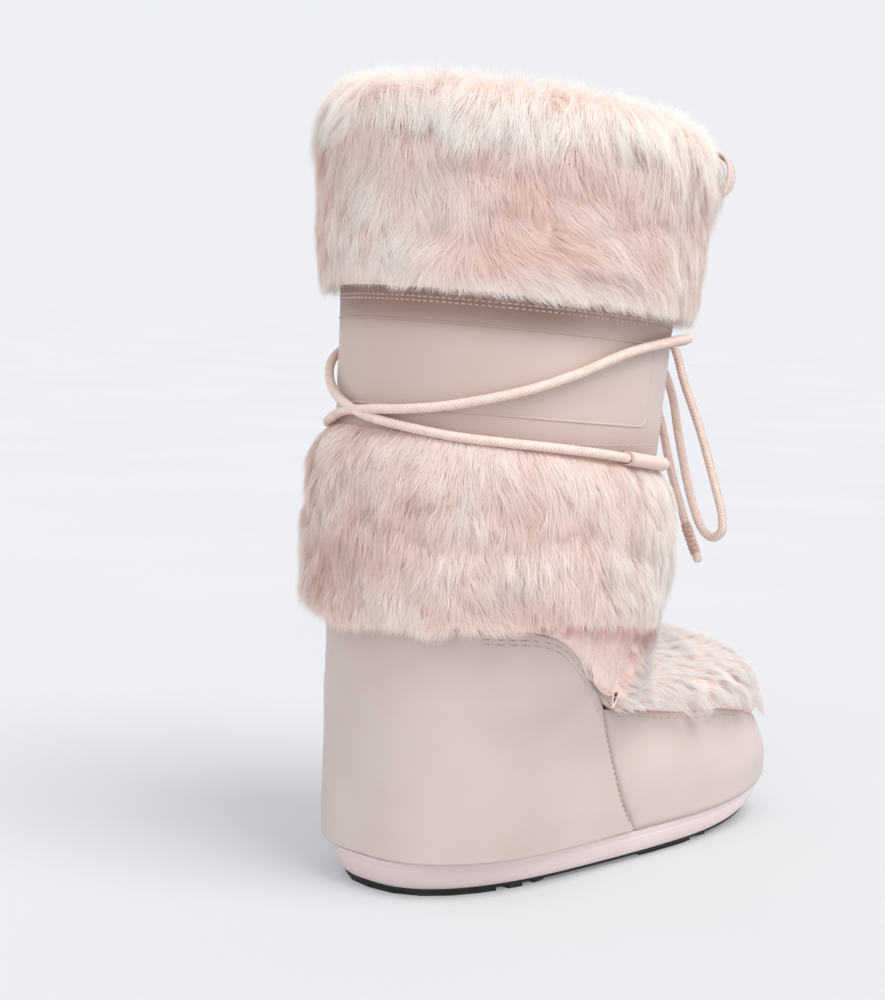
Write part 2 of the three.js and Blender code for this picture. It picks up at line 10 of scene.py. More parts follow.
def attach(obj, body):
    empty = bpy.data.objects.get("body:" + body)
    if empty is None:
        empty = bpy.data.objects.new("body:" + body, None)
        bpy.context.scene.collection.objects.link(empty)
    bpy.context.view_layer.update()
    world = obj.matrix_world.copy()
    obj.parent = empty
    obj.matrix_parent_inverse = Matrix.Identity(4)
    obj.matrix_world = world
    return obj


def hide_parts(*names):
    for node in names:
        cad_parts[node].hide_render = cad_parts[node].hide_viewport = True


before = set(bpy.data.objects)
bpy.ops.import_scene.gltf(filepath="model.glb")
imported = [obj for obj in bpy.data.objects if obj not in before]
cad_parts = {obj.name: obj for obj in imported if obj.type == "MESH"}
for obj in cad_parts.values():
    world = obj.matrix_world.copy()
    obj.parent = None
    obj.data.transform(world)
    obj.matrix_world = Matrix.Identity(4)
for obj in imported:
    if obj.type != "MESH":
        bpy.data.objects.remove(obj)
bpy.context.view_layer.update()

AXIS_X = 58.28  # the shaft's axis, behind the middle of the boot


def to_m(p):
    return (np.asarray(p, float) - (AXIS_X, 0.0, 0.0)) / 1000.0


# ---------------------------------------------------------------- camera
cam_data = bpy.data.cameras.new("camera")
cam = bpy.data.objects.new("camera", cam_data)
bpy.context.scene.collection.objects.link(cam)
EYE = (-751.22490817, -680.21209984, 293.86406142)
RIGHT = (0.69156969, -0.72141335, 0.03597414)
UP = (0.05328687, 0.10062437, 0.99349648)
AHEAD = (0.7203415, 0.6851551, -0.10803062)
m = Matrix.Identity(4)
for i in range(3):
    m[i][0], m[i][1], m[i][2] = RIGHT[i], UP[i], -AHEAD[i]
    m[i][3] = float(to_m(EYE)[i])
cam.matrix_world = m
cam_data.sensor_width = 36.0
cam_data.lens = 2028.3418 * 36.0 / 1000.0
cam_data.clip_start = 0.01
cam_data.clip_end = 100.0
bpy.context.scene.camera = cam
bpy.context.scene.view_settings.view_transform = "Standard"


# ---------------------------------------------------------------- the form, as in the solids
SOLE_LENGTH = 299.0
SOLE_CENTRE = 64.0
HEEL_WIDTH = 121.8
BALL_WIDTH = 117.4
WAIST = 1.2
OUTLINE_POWER = 2.6
TOE_SPRING = 8.3
SPRING_START = 0.3
SPRING_FADE = 50.0
SEAT_Z = 18.2
BAND_Z = 3.6
PLATE_Z = 1.6
BLEND = 22.0
FLARE = 0.03
SHELL = 2.2
LACE = 4.6

FORM_COLUMNS = ("level", "back", "front", "half", "n", "toe", "ball", "m", "tilt")
FORM = np.array([
    [18.6, -86.4, 58, 53.5, 2.35, 214.6, 61.2, 2.5, 0],
    [32, -86.4, 60, 55.5, 2.35, 214.4, 61.2, 2.5, 0],
    [46, -86.2, 63, 57.5, 2.3, 208.5, 60.2, 2.5, 0],
    [56, -86.2, 65, 59.5, 2.25, 203, 58.6, 2.5, 0],
    [66, -86.2, 67, 61.5, 2.2, 197.5, 57, 2.5, 0],
    [76, -86.2, 69, 64, 2.15, 190.5, 55, 2.45, 0],
    [84, -86.2, 70.5, 66, 2.15, 178, 51.5, 2.4, 0],
    [90, -86.1, 71.7, 67.5, 2.15, 163, 47.8, 2.35, 0],
    [95, -86, 72.6, 68.6, 2.15, 145, 43.5, 2.3, 0],
    [99, -85.8, 73.4, 69.5, 2.1, 125, 39, 2.25, 0],
    [105, -85.4, 74.2, 70.8, 2.1, 107, 35, 2.2, 0],
    [114, -84.8, 75.3, 72.6, 2.1, 95, 31, 2.1, 0],
    [126, -84, 76.6, 75, 2.05, 87, 27, 2, 0.005],
    [150, -83, 78.6, 76, 2, 70, 20, 2, 0.03],
    [180, -82.2, 81.4, 77.3, 2, 60, 10, 2, 0.06],
    [210, -81.8, 84.6, 78.6, 2, 50, 5, 2, 0.07],
    [245, -81.4, 88.6, 79.8, 2, 50, 5, 2, 0.075],
    [280, -80.8, 92.2, 81.2, 2, 50, 5, 2, 0.085],
    [330, -80.2, 97.4, 83.2, 2, 50, 5, 2, 0.115],
    [385, -79.4, 102.2, 85, 2, 50, 5, 2, 0.14]], float)
COL = {c: FORM[:, i] for i, c in enumerate(FORM_COLUMNS)}
FUR = np.array([
    [18, 3], [50, 5.5], [60, 8], [70, 10.5], [80, 12], [105, 12], [120, 12.5], [130, 14],
    [150, 15], [168, 15.5], [184, 14.5], [194, 11.5], [201, 6.5], [206, 0], [276, 0],
    [281, 6.5], [288, 10.5], [299, 12], [345, 12], [360, 11], [371, 8], [379, 3.5], [383, -1.5]], float)
HEEL_TOPLINE = np.array([[-120, 131], [-62, 131], [-40, 130], [-26, 126], [-12, 116], [0, 105], [10, 95], [18, 86]], float)
SIDE_SEAM = np.array([[18, 86], [22, 77], [28, 65], [34.4, 50.6], [40.4, 36.2], [49.3, 21.8], [52, 17]], float)
TOE_TOPLINE = np.array([[18, 86], [38, 82.5], [58, 79.3], [82, 75.3], [110, 72], [135, 69.5], [150, 66.8],
                        [165, 63.2], [180, 59], [200, 55], [240, 52]], float)


def monotone(xs, ys, v):
    """the monotone cubic through a table's rows"""
    xs = np.asarray(xs, float)
    ys = np.asarray(ys, float)
    v = np.asarray(v, float)
    s = np.diff(ys) / np.diff(xs)
    t = np.empty(len(xs))
    t[0], t[-1] = s[0], s[-1]
    a, b = s[:-1], s[1:]
    with np.errstate(divide="ignore", invalid="ignore"):
        t[1:-1] = np.where(a * b <= 0, 0.0, 2 * a * b / (a + b))
    i = np.clip(np.searchsorted(xs, v, side="left"), 1, len(xs) - 1)
    h = xs[i] - xs[i - 1]
    q = np.clip((v - xs[i - 1]) / h, 0, 1)
    u = 1 - q
    return (ys[i - 1] * (1 + 2 * q) * u * u + t[i - 1] * h * q * u * u
            + ys[i] * q * q * (3 - 2 * q) - t[i] * h * q * q * u)


def smooth(column, level):
    return monotone(COL["level"], COL[column], level)


def fur_depth(level):
    return monotone(FUR[:, 0], FUR[:, 1], np.clip(level, 18, 383))


def spring(x):
    u = (np.asarray(x, float) - SOLE_CENTRE) / (SOLE_LENGTH / 2)
    return TOE_SPRING * (np.maximum(u - SPRING_START, 0) / (1 - SPRING_START)) ** 2


def pushed(column, sign, distance):
    lv, v = [], 0
    while v <= 430:
        lv.append(v)
        v += 2 if v < 130 else 6
    lv = np.array(lv, float)
    val = smooth(column, lv)
    d = (smooth(column, lv + 1) - smooth(column, lv - 1)) / 2
    slope = np.where((lv < 19) | (lv > 384), 0, d * sign)
    k = distance(lv) / np.hypot(1, slope)
    L, V = lv - slope * k, val + sign * k
    keep = [0]
    for i in range(1, len(L)):
        if L[i] > L[keep[-1]] + 0.2:
            keep.append(i)
    L, V = L[keep], V[keep]
    return lambda q: np.interp(q, L, V)


class Form:
    """the boot's form, pushed out by a distance"""

    def __init__(self, distance):
        d = distance if callable(distance) else (lambda q, k=float(distance): np.full_like(np.asarray(q, float), k))
        self.c = {k: pushed(k, s, d) for k, s in (("toe", 1), ("ball", 1), ("back", -1), ("front", 1), ("half", 1))}

    def rows(self, level):
        s = np.clip(level, 18.6, 385)
        r = {k: f(s) for k, f in self.c.items()}
        r["ball"] = np.maximum(r["ball"], 0)
        for k in ("n", "m", "tilt"):
            r[k] = smooth(k, s)
        r["end"] = np.maximum(r["front"], r["toe"])
        return r

    @staticmethod
    def width(r, x):
        def oval(a, b, w, n):
            u = np.abs((x - (a + b) / 2) / ((b - a) / 2))
            return np.where(u >= 1, -1.0, w * np.clip(1 - np.minimum(u, 1) ** n, 0, 1) ** (1 / n))
        leg = oval(r["back"], r["front"], r["half"], r["n"])
        foot = oval(r["back"], r["toe"], r["ball"], r["m"]) * (
            1 + FLARE * (2 * x - r["toe"] - r["back"]) / (r["toe"] - r["back"]))
        reach = np.maximum(leg, foot)
        near = np.maximum(BLEND - np.abs(leg - foot), 0) / BLEND
        fade = np.minimum(1, 2 * np.minimum(leg, foot) / BLEND)
        both = (leg > 0) & (foot > 0)
        return np.where(both, reach + np.where(both, near * near * BLEND * fade / 4, 0), np.maximum(reach, 0))

    def ring(self, level, half):
        """half + 1 points from the heel to the toe on the +Y side, spaced evenly"""
        r = self.rows(np.array(float(level)))
        t = np.linspace(0, math.pi, 721)
        x = r["back"] + (r["end"] - r["back"]) * (1 - np.cos(t)) / 2
        w = self.width(r, x)
        w[0] = w[-1] = 0
        s = np.concatenate([[0], np.cumsum(np.hypot(np.diff(x), np.diff(w)))])
        g = np.linspace(0, s[-1], half + 1)
        X, Y = np.interp(g, s, x), np.interp(g, s, w)
        Y[0] = Y[-1] = 0
        fade = min(max(1 - (level - SEAT_Z) / SPRING_FADE, 0), 1)
        Z = level - r["tilt"] * X + spring(X) * fade
        return np.stack([X, Y, Z], 1)

    def rings(self, levels, half):
        out = []
        for lv in levels:
            h = self.ring(lv, half)
            back = h[1:-1][::-1] * (1, -1, 1)
            out.append(np.concatenate([h, back]))
        return np.array(out)


class Dense:
    """the form as a fine grid: u runs from the heel (0) by the left side and the toe (0.5) to the right side"""

    def __init__(self, half=360, low=18.6, high=385.0, step=1.5):
        self.levels = np.arange(low, high + step / 2, step)
        self.low, self.step = low, step
        P = Form(0.0).rings(self.levels, half)
        for _ in range(2):  # take the last facets out of the level direction
            P[1:-1] = P[1:-1] * 0.5 + (P[:-2] + P[2:]) * 0.25
        self.P = P
        du = (np.roll(P, -1, 1) - np.roll(P, 1, 1)) * (P.shape[1] / 2)
        dl = np.gradient(P, self.step, axis=0)
        n = np.cross(dl, du)
        n /= np.linalg.norm(n, axis=2, keepdims=True)
        radial = P - P.mean(1, keepdims=True)
        if (n * radial).sum() < 0:
            n = -n
        for _ in range(3):
            n = n + 0.5 * (np.roll(n, 1, 1) + np.roll(n, -1, 1))
            n /= np.linalg.norm(n, axis=2, keepdims=True)
        self.N, self.du, self.dl = n, du, dl

    def take(self, A, u, level):
        """A at u and level, between the grid's points"""
        rows, cols = A.shape[:2]
        f = np.clip((np.asarray(level, float) - self.low) / self.step, 0, rows - 1.001)
        g = (np.asarray(u, float) % 1.0) * cols
        i, j = f.astype(int), g.astype(int) % cols
        a, b = (f - i)[..., None], (g - np.floor(g))[..., None]
        k = (j + 1) % cols
        return ((A[i, j] * (1 - b) + A[i, k] * b) * (1 - a) + (A[i + 1, j] * (1 - b) + A[i + 1, k] * b) * a)

    def at(self, u, level, depth=0.0):
        p = self.take(self.P, u, level)
        n = self.take(self.N, u, level)
        n = n / np.linalg.norm(n, axis=-1, keepdims=True)
        return p + n * np.asarray(depth, float)[..., None], n


dense = Dense()


# ---------------------------------------------------------------- noise without files
class Noise:
    """smooth noise in space, from a seeded lattice"""

    def __init__(self, seed, size=24):
        self.size = size
        self.v = np.random.default_rng(seed).random((size, size, size)) * 2 - 1

    def __call__(self, p, scale):
        q = np.asarray(p, float) / scale
        i = np.floor(q).astype(int)
        f = q - i
        f = f * f * (3 - 2 * f)
        s = self.size
        out = 0.0
        for dx in (0, 1):
            for dy in (0, 1):
                for dz in (0, 1):
                    w = (np.where(dx, f[..., 0], 1 - f[..., 0]) * np.where(dy, f[..., 1], 1 - f[..., 1])
                         * np.where(dz, f[..., 2], 1 - f[..., 2]))
                    out = out + w * self.v[(i[..., 0] + dx) % s, (i[..., 1] + dy) % s, (i[..., 2] + dz) % s]
        return out


noise_a, noise_b, noise_c, noise_d = Noise(11), Noise(12), Noise(13), Noise(14)


def bearing_of(p):
    """degrees from the toe, clockwise negative"""
    return np.degrees(np.arctan2(p[..., 1], p[..., 0]))


def turn(a, b):
    return (a - b + 180.0) % 360.0 - 180.0


# ---------------------------------------------------------------- mesh helpers
def add_mesh(name, verts, faces, material, smooth_faces=True):
    """faces is a list of arrays, each of faces with one number of corners; verts in millimetres"""
    me = bpy.data.meshes.new(name)
    v = to_m(verts).astype(np.float32)
    faces = [np.asarray(f, np.int32) for f in faces if len(f)]
    me.vertices.add(len(v))
    me.vertices.foreach_set("co", v.ravel())
    loops = np.concatenate([f.ravel() for f in faces])
    counts = np.concatenate([np.full(len(f), f.shape[1], np.int32) for f in faces])
    me.loops.add(len(loops))
    me.loops.foreach_set("vertex_index", loops)
    me.polygons.add(len(counts))
    me.polygons.foreach_set("loop_start", np.concatenate([[0], np.cumsum(counts)[:-1]]).astype(np.int32))
    me.polygons.foreach_set("use_smooth", np.full(len(counts), smooth_faces, bool))
    me.update(calc_edges=True)
    me.validate()
    o = bpy.data.objects.new(name, me)
    bpy.context.scene.collection.objects.link(o)
    me.materials.append(material)
    return o


def uv_layer(o, uv):
    """uv for each vertex"""
    me = o.data
    layer = me.uv_layers.new(name="UVMap")
    idx = np.empty(len(me.loops), np.int32)
    me.loops.foreach_get("vertex_index", idx)
    layer.data.foreach_set("uv", np.asarray(uv, np.float32)[idx].ravel())


def point_colour(o, rgb, name="Tint"):
    a = o.data.attributes.new(name, "FLOAT_COLOR", "POINT")
    c = np.ones((len(rgb), 4), np.float32)
    c[:, :3] = rgb
    a.data.foreach_set("color", c.ravel())


def piece(o, nodes=()):
    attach(o, "root")
    if nodes:
        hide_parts(*nodes)
    return o


def grid_faces(rows, cols, wrap, start=0, flip=False):
    i = np.arange(rows - 1)[:, None]
    j = np.arange(cols if wrap else cols - 1)[None, :]
    k = (j + 1) % cols
    f = np.stack([i * cols + j, i * cols + k, (i + 1) * cols + k, (i + 1) * cols + j], -1).reshape(-1, 4) + start
    return f[:, ::-1] if flip else f


def slab(outer, inner, wrap):
    """a closed sheet between two grids (rows, cols, 3); returns its points and faces"""
    rows, cols = outer.shape[:2]
    n = rows * cols
    verts = np.concatenate([outer.reshape(-1, 3), inner.reshape(-1, 3)])
    # the outer grid's own direction decides which way round the faces go
    faces = [grid_faces(rows, cols, wrap), grid_faces(rows, cols, wrap, n, True)]
    j = np.arange(cols if wrap else cols - 1)
    k = (j + 1) % cols
    faces.append(np.stack([j, n + j, n + k, k], 1))
    t = (rows - 1) * cols
    faces.append(np.stack([t + j, t + k, n + t + k, n + t + j], 1))
    if not wrap:
        i = np.arange(rows - 1)
        a, b = i * cols, (i + 1) * cols
        faces.append(np.stack([a, b, n + b, n + a], 1))
        a, b = i * cols + cols - 1, (i + 1) * cols + cols - 1
        faces.append(np.stack([a, n + a, n + b, b], 1))
    return verts, faces


def outward(verts, faces, outer_rows, outer_cols, normals):
    """True if the faces of the outer grid look along normals"""
    f = faces[0][len(faces[0]) // 2]
    a, b, c = verts[f[0]], verts[f[1]], verts[f[2]]
    n = np.cross(b - a, c - b)
    return float(n @ normals.reshape(-1, 3)[f[0]]) > 0


def turned(faces):
    return [f[:, ::-1] for f in faces]


def frames_along(P, hint):
    """tangent, side and up at each point of a path, without twist"""
    T = np.gradient(P, axis=0)
    T /= np.linalg.norm(T, axis=1, keepdims=True)
    U = np.empty_like(P)
    u = np.asarray(hint, float)
    for i in range(len(P)):
        u = u - T[i] * (u @ T[i])
        u /= np.linalg.norm(u)
        U[i] = u
    return T, np.cross(T, U), U


def catmull(points, step):
    """evenly spaced points on a centripetal Catmull-Rom curve"""
    p = np.asarray(points, float)
    p = np.concatenate([[2 * p[0] - p[1]], p, [2 * p[-1] - p[-2]]])
    out = []
    for i in range(1, len(p) - 2):
        p0, p1, p2, p3 = p[i - 1:i + 3]
        t0 = 0.0
        t1 = t0 + max(np.linalg.norm(p1 - p0), 1e-9) ** 0.5
        t2 = t1 + max(np.linalg.norm(p2 - p1), 1e-9) ** 0.5
        t3 = t2 + max(np.linalg.norm(p3 - p2), 1e-9) ** 0.5
        t = np.linspace(t1, t2, 24, endpoint=False)[:, None]
        a1 = (t1 - t) / (t1 - t0) * p0 + (t - t0) / (t1 - t0) * p1
        a2 = (t2 - t) / (t2 - t1) * p1 + (t - t1) / (t2 - t1) * p2
        a3 = (t3 - t) / (t3 - t2) * p2 + (t - t2) / (t3 - t2) * p3
        b1 = (t2 - t) / (t2 - t0) * a1 + (t - t0) / (t2 - t0) * a2
        b2 = (t3 - t) / (t3 - t1) * a2 + (t - t1) / (t3 - t1) * a3
        out.append((t2 - t) / (t2 - t1) * b1 + (t - t1) / (t2 - t1) * b2)
    out = np.concatenate(out + [p[-2][None]])
    s = np.concatenate([[0], np.cumsum(np.linalg.norm(np.diff(out, axis=0), axis=1))])
    n = max(int(round(s[-1] / step)), 2)
    g = np.linspace(0, s[-1], n + 1)
    return np.stack([np.interp(g, s, out[:, k]) for k in range(3)], 1)


# ---------------------------------------------------------------- materials
def lin(r, g, b):
    return tuple(c / 12.92 if c <= 0.04045 else ((c + 0.055) / 1.055) ** 2.4 for c in (r / 255, g / 255, b / 255))


class Mat:
    """a small builder of node materials"""

    def __init__(self, name, colour, roughness, specular=0.5, coat=0.0, coat_roughness=0.3, sheen=0.0):
        self.m = bpy.data.materials.new(name)
        self.m.use_nodes = True
        self.t = self.m.node_tree
        self.b = self.t.nodes["Principled BSDF"]
        self.b.inputs["Base Color"].default_value = (*colour, 1)
        self.b.inputs["Roughness"].default_value = roughness
        self.b.inputs["Specular IOR Level"].default_value = specular
        self.b.inputs["Coat Weight"].default_value = coat
        self.b.inputs["Coat Roughness"].default_value = coat_roughness
        self.b.inputs["Sheen Weight"].default_value = sheen
        self.height = None
        self.co = None

    def node(self, kind, **values):
        n = self.t.nodes.new(kind)
        for k, v in values.items():
            setattr(n, k, v)
        return n

    def link(self, a, b):
        self.t.links.new(a, b)

    def coords(self):
        if self.co is None:
            self.co = self.node("ShaderNodeTexCoord").outputs["Object"]
        return self.co

    def noise(self, scale, detail=2.0, roughness=0.5, stretch=None, distortion=0.0):
        n = self.node("ShaderNodeTexNoise")
        n.inputs["Scale"].default_value = scale
        n.inputs["Detail"].default_value = detail
        n.inputs["Roughness"].default_value = roughness
        n.inputs["Distortion"].default_value = distortion
        src = self.coords()
        if stretch is not None:
            mp = self.node("ShaderNodeMapping")
            mp.inputs["Scale"].default_value = stretch
            self.link(src, mp.inputs["Vector"])
            src = mp.outputs["Vector"]
        self.link(src, n.inputs["Vector"])
        return n.outputs["Fac"]

    def cells(self, scale, feature="F1", src=None):
        n = self.node("ShaderNodeTexVoronoi", feature=feature)
        n.inputs["Scale"].default_value = scale
        self.link(src or self.coords(), n.inputs["Vector"])
        return n.outputs["Distance"]

    def ramp(self, fac, stops):
        r = self.node("ShaderNodeValToRGB")
        e = r.color_ramp.elements
        while len(e) > len(stops):
            e.remove(e[-1])
        while len(e) < len(stops):
            e.new(0.5)
        for k, (pos, c) in enumerate(stops):
            e[k].position = pos
            e[k].color = (*c, 1) if not isinstance(c, (int, float)) else (c, c, c, 1)
        self.link(fac, r.inputs["Fac"])
        return r.outputs["Color"]

    def math(self, op, a, b=0.0, c=None):
        n = self.node("ShaderNodeMath", operation=op)
        for k, v in enumerate((a, b) if c is None else (a, b, c)):
            if isinstance(v, (int, float)):
                n.inputs[k].default_value = v
            else:
                self.link(v, n.inputs[k])
        return n.outputs[0]

    def mix(self, fac, a, b, kind="MIX"):
        n = self.node("ShaderNodeMix", data_type="RGBA", blend_type=kind)
        for key, v in ((0, fac), (6, a), (7, b)):
            if isinstance(v, (int, float)):
                n.inputs[key].default_value = v
            elif isinstance(v, tuple):
                n.inputs[key].default_value = (*v, 1)
            else:
                self.link(v, n.inputs[key])
        return n.outputs[2]

    def colour(self, out):
        self.link(out, self.b.inputs["Base Color"])

    def rough(self, out):
        self.link(out, self.b.inputs["Roughness"])

    def bump(self, out, distance, strength=1.0):
        n = self.node("ShaderNodeBump")
        n.inputs["Distance"].default_value = distance
        n.inputs["Strength"].default_value = strength
        self.link(out, n.inputs["Height"])
        if self.height is not None:
            self.link(self.height, n.inputs["Normal"])
        self.height = n.outputs["Normal"]
        self.link(self.height, self.b.inputs["Normal"])


def coated(name, base, deeper, roughness=0.5):
    """smooth coated cloth or moulded rubber: cloudy tone, fine grain, soft gloss"""
    k = Mat(name, base, roughness, specular=0.4, coat=0.06, coat_roughness=0.35)
    cloud = k.noise(14, 3, 0.55)
    k.colour(k.ramp(cloud, [(0.3, deeper), (0.62, base)]))
    k.rough(k.ramp(k.noise(60, 3), [(0.3, roughness - 0.06), (0.7, roughness + 0.07)]))
    k.bump(k.cells(1150), 0.00006, 0.35)
    k.bump(k.noise(420, 3), 0.00012, 0.3)
    k.bump(k.noise(38, 2), 0.0009, 0.22)
    return k.m


SHELL_LIGHT, SHELL_DEEP = lin(201, 186, 180), lin(195, 178, 171)
mat_shell = coated("shell", SHELL_LIGHT, SHELL_DEEP, 0.5)
mat_panel = coated("panel", lin(206, 188, 180), lin(197, 178, 169), 0.47)
# painted shade on the panel: darker under the cuff's overhanging fur, and further down round the back
t_ = mat_panel.node_tree
co = t_.nodes.new("ShaderNodeTexCoord")
sep = t_.nodes.new("ShaderNodeSeparateXYZ")
t_.links.new(co.outputs["Object"], sep.inputs[0])
lvl = t_.nodes.new("ShaderNodeMath")
lvl.operation = "MULTIPLY_ADD"
t_.links.new(sep.outputs[0], lvl.inputs[0])
lvl.inputs[1].default_value = 0.083
t_.links.new(sep.outputs[2], lvl.inputs[2])
rng_ = t_.nodes.new("ShaderNodeMapRange")
rng_.interpolation_type = "SMOOTHSTEP"
rng_.inputs["From Min"].default_value = 0.2505
rng_.inputs["From Max"].default_value = 0.2765
rng_.inputs["To Min"].default_value = 0.0
rng_.inputs["To Max"].default_value = 0.62
t_.links.new(lvl.outputs[0], rng_.inputs["Value"])
back_ = t_.nodes.new("ShaderNodeMapRange")
back_.interpolation_type = "SMOOTHSTEP"
back_.inputs["From Min"].default_value = -0.06
back_.inputs["From Max"].default_value = -0.108
back_.inputs["To Min"].default_value = 0.0
back_.inputs["To Max"].default_value = 0.45
t_.links.new(sep.outputs[0], back_.inputs["Value"])
high_ = t_.nodes.new("ShaderNodeMapRange")
high_.interpolation_type = "SMOOTHSTEP"
high_.inputs["From Min"].default_value = 0.2570
high_.inputs["From Max"].default_value = 0.2690
t_.links.new(lvl.outputs[0], high_.inputs["Value"])
both_ = t_.nodes.new("ShaderNodeMath")
both_.operation = "MULTIPLY_ADD"
both_.use_clamp = True
t_.links.new(back_.outputs[0], both_.inputs[0])
t_.links.new(high_.outputs[0], both_.inputs[1])
t_.links.new(rng_.outputs[0], both_.inputs[2])
shade = t_.nodes.new("ShaderNodeMix")
shade.data_type = "RGBA"
t_.links.new(both_.outputs[0], shade.inputs[0])
base_ = t_.nodes["Principled BSDF"].inputs["Base Color"]
# a warmer, darker tone towards the back: partly colour, partly painted shade
back_tone_and_shade_ramp = t_.nodes.new("ShaderNodeMapRange")
back_tone_and_shade_ramp.interpolation_type = "SMOOTHSTEP"
back_tone_and_shade_ramp.inputs["From Min"].default_value = -0.07
back_tone_and_shade_ramp.inputs["From Max"].default_value = -0.125
back_tone_and_shade_ramp.inputs["To Min"].default_value = 0.0
back_tone_and_shade_ramp.inputs["To Max"].default_value = 0.4
t_.links.new(sep.outputs[0], back_tone_and_shade_ramp.inputs["Value"])
back_tone_and_shade_mix = t_.nodes.new("ShaderNodeMix")
back_tone_and_shade_mix.data_type = "RGBA"
t_.links.new(back_tone_and_shade_ramp.outputs[0], back_tone_and_shade_mix.inputs[0])
t_.links.new(base_.links[0].from_socket, back_tone_and_shade_mix.inputs[6])
back_tone_and_shade_mix.inputs[7].default_value = (*lin(184, 160, 146), 1)
t_.links.new(back_tone_and_shade_mix.outputs[2], shade.inputs[6])
shade.inputs[7].default_value = (*lin(144, 117, 106), 1)
# painted shade: darker towards the panel's lower part, round the lower turn of the lace
painted_low_shade_ramp = t_.nodes.new("ShaderNodeMapRange")
painted_low_shade_ramp.interpolation_type = "SMOOTHSTEP"
painted_low_shade_ramp.inputs["From Min"].default_value = 0.231
painted_low_shade_ramp.inputs["From Max"].default_value = 0.214
painted_low_shade_ramp.inputs["To Min"].default_value = 0.0
painted_low_shade_ramp.inputs["To Max"].default_value = 0.3
t_.links.new(lvl.outputs[0], painted_low_shade_ramp.inputs["Value"])
painted_low_shade_mix = t_.nodes.new("ShaderNodeMix")
painted_low_shade_mix.data_type = "RGBA"
t_.links.new(painted_low_shade_ramp.outputs[0], painted_low_shade_mix.inputs[0])
t_.links.new(shade.outputs[2], painted_low_shade_mix.inputs[6])
painted_low_shade_mix.inputs[7].default_value = (*lin(158, 130, 118), 1)
t_.links.new(painted_low_shade_mix.outputs[2], base_)
mat_band = coated("sole_band", lin(237, 219, 216), lin(230, 211, 208), 0.6)
# painted shade: the band is a little darker round the heel
t_ = mat_band.node_tree  # a little deeper round the heel
co = t_.nodes.new("ShaderNodeTexCoord")
sep = t_.nodes.new("ShaderNodeSeparateXYZ")
t_.links.new(co.outputs["Object"], sep.inputs[0])
heel_shade_ramp = t_.nodes.new("ShaderNodeMapRange")
heel_shade_ramp.interpolation_type = "SMOOTHSTEP"
heel_shade_ramp.inputs["From Min"].default_value = -0.07
heel_shade_ramp.inputs["From Max"].default_value = -0.135
heel_shade_ramp.inputs["To Min"].default_value = 0.0
heel_shade_ramp.inputs["To Max"].default_value = 0.9
t_.links.new(sep.outputs[0], heel_shade_ramp.inputs["Value"])
painted_heel_shade_mix = t_.nodes.new("ShaderNodeMix")
painted_heel_shade_mix.data_type = "RGBA"
t_.links.new(heel_shade_ramp.outputs[0], painted_heel_shade_mix.inputs[0])
base_ = t_.nodes["Principled BSDF"].inputs["Base Color"]
t_.links.new(base_.links[0].from_socket, painted_heel_shade_mix.inputs[6])
painted_heel_shade_mix.inputs[7].default_value = (*lin(216, 198, 196), 1)
t_.links.new(painted_heel_shade_mix.outputs[2], base_)

k = Mat("tread", lin(30, 29, 31), 0.62, specular=0.4)
k.colour(k.ramp(k.noise(90, 4), [(0.35, lin(22, 21, 23)), (0.7, lin(40, 38, 40))]))
k.bump(k.noise(700, 3), 0.0002, 0.4)
mat_tread = k.m

k = Mat("fur", lin(240, 220, 212), 0.8, specular=0.18)
att = k.node("ShaderNodeAttribute", attribute_name="Tint", attribute_type="GEOMETRY")
k.colour(att.outputs["Color"])
through = k.node("ShaderNodeBsdfTranslucent")
k.link(att.outputs["Color"], through.inputs["Color"])
blend = k.node("ShaderNodeMixShader")
blend.inputs[0].default_value = 0.5
k.link(k.b.outputs[0], blend.inputs[1])
k.link(through.outputs[0], blend.inputs[2])
k.link(blend.outputs[0], k.t.nodes["Material Output"].inputs["Surface"])
mat_fur = k.m

# the ground under the pile: a pinkish root colour, partly painted shade, a little darker for the gaps between tufts
k = Mat("pile_ground", lin(222, 190, 180), 0.95, specular=0.1)
k.colour(k.ramp(k.noise(120, 4, 0.6, (1, 1, 0.35)), [(0.3, lin(238, 213, 205)), (0.7, lin(246, 226, 218))]))
k.bump(k.noise(600, 4, 0.6, (1, 1, 0.25)), 0.0015, 0.7)
mat_ground = k.m

k = Mat("lining", lin(226, 208, 198), 0.95, specular=0.1)
k.colour(k.ramp(k.noise(200, 4, 0.6), [(0.3, lin(212, 192, 182)), (0.7, lin(232, 216, 207))]))
k.bump(k.noise(1500, 3, 0.7), 0.0006, 0.6)
mat_lining = k.m

k = Mat("webbing", lin(235, 212, 203), 0.7, specular=0.3)
wave = k.node("ShaderNodeTexWave", wave_type="BANDS", bands_direction="Z")
wave.inputs["Scale"].default_value = 320
wave.inputs["Distortion"].default_value = 1.0
k.link(k.coords(), wave.inputs["Vector"])
k.colour(k.mix(0.2, lin(229, 206, 196), k.ramp(wave.outputs["Fac"], [(0.2, lin(206, 176, 165)), (0.8, lin(234, 214, 205))])))
k.bump(wave.outputs["Fac"], 0.0002, 0.3)
k.bump(k.noise(1400, 3), 0.0002, 0.4)
mat_webbing = k.m


# painted shade: the dark colour of the sheet in the corner fold
k = Mat("fold_shade", lin(116, 78, 70), 0.9, specular=0.05)
k.colour(k.ramp(k.noise(300, 3), [(0.3, lin(98, 62, 56)), (0.7, lin(134, 96, 87))]))
k.bump(k.noise(900, 2), 0.0003, 0.4)
mat_fold_shade_sheet = k.m


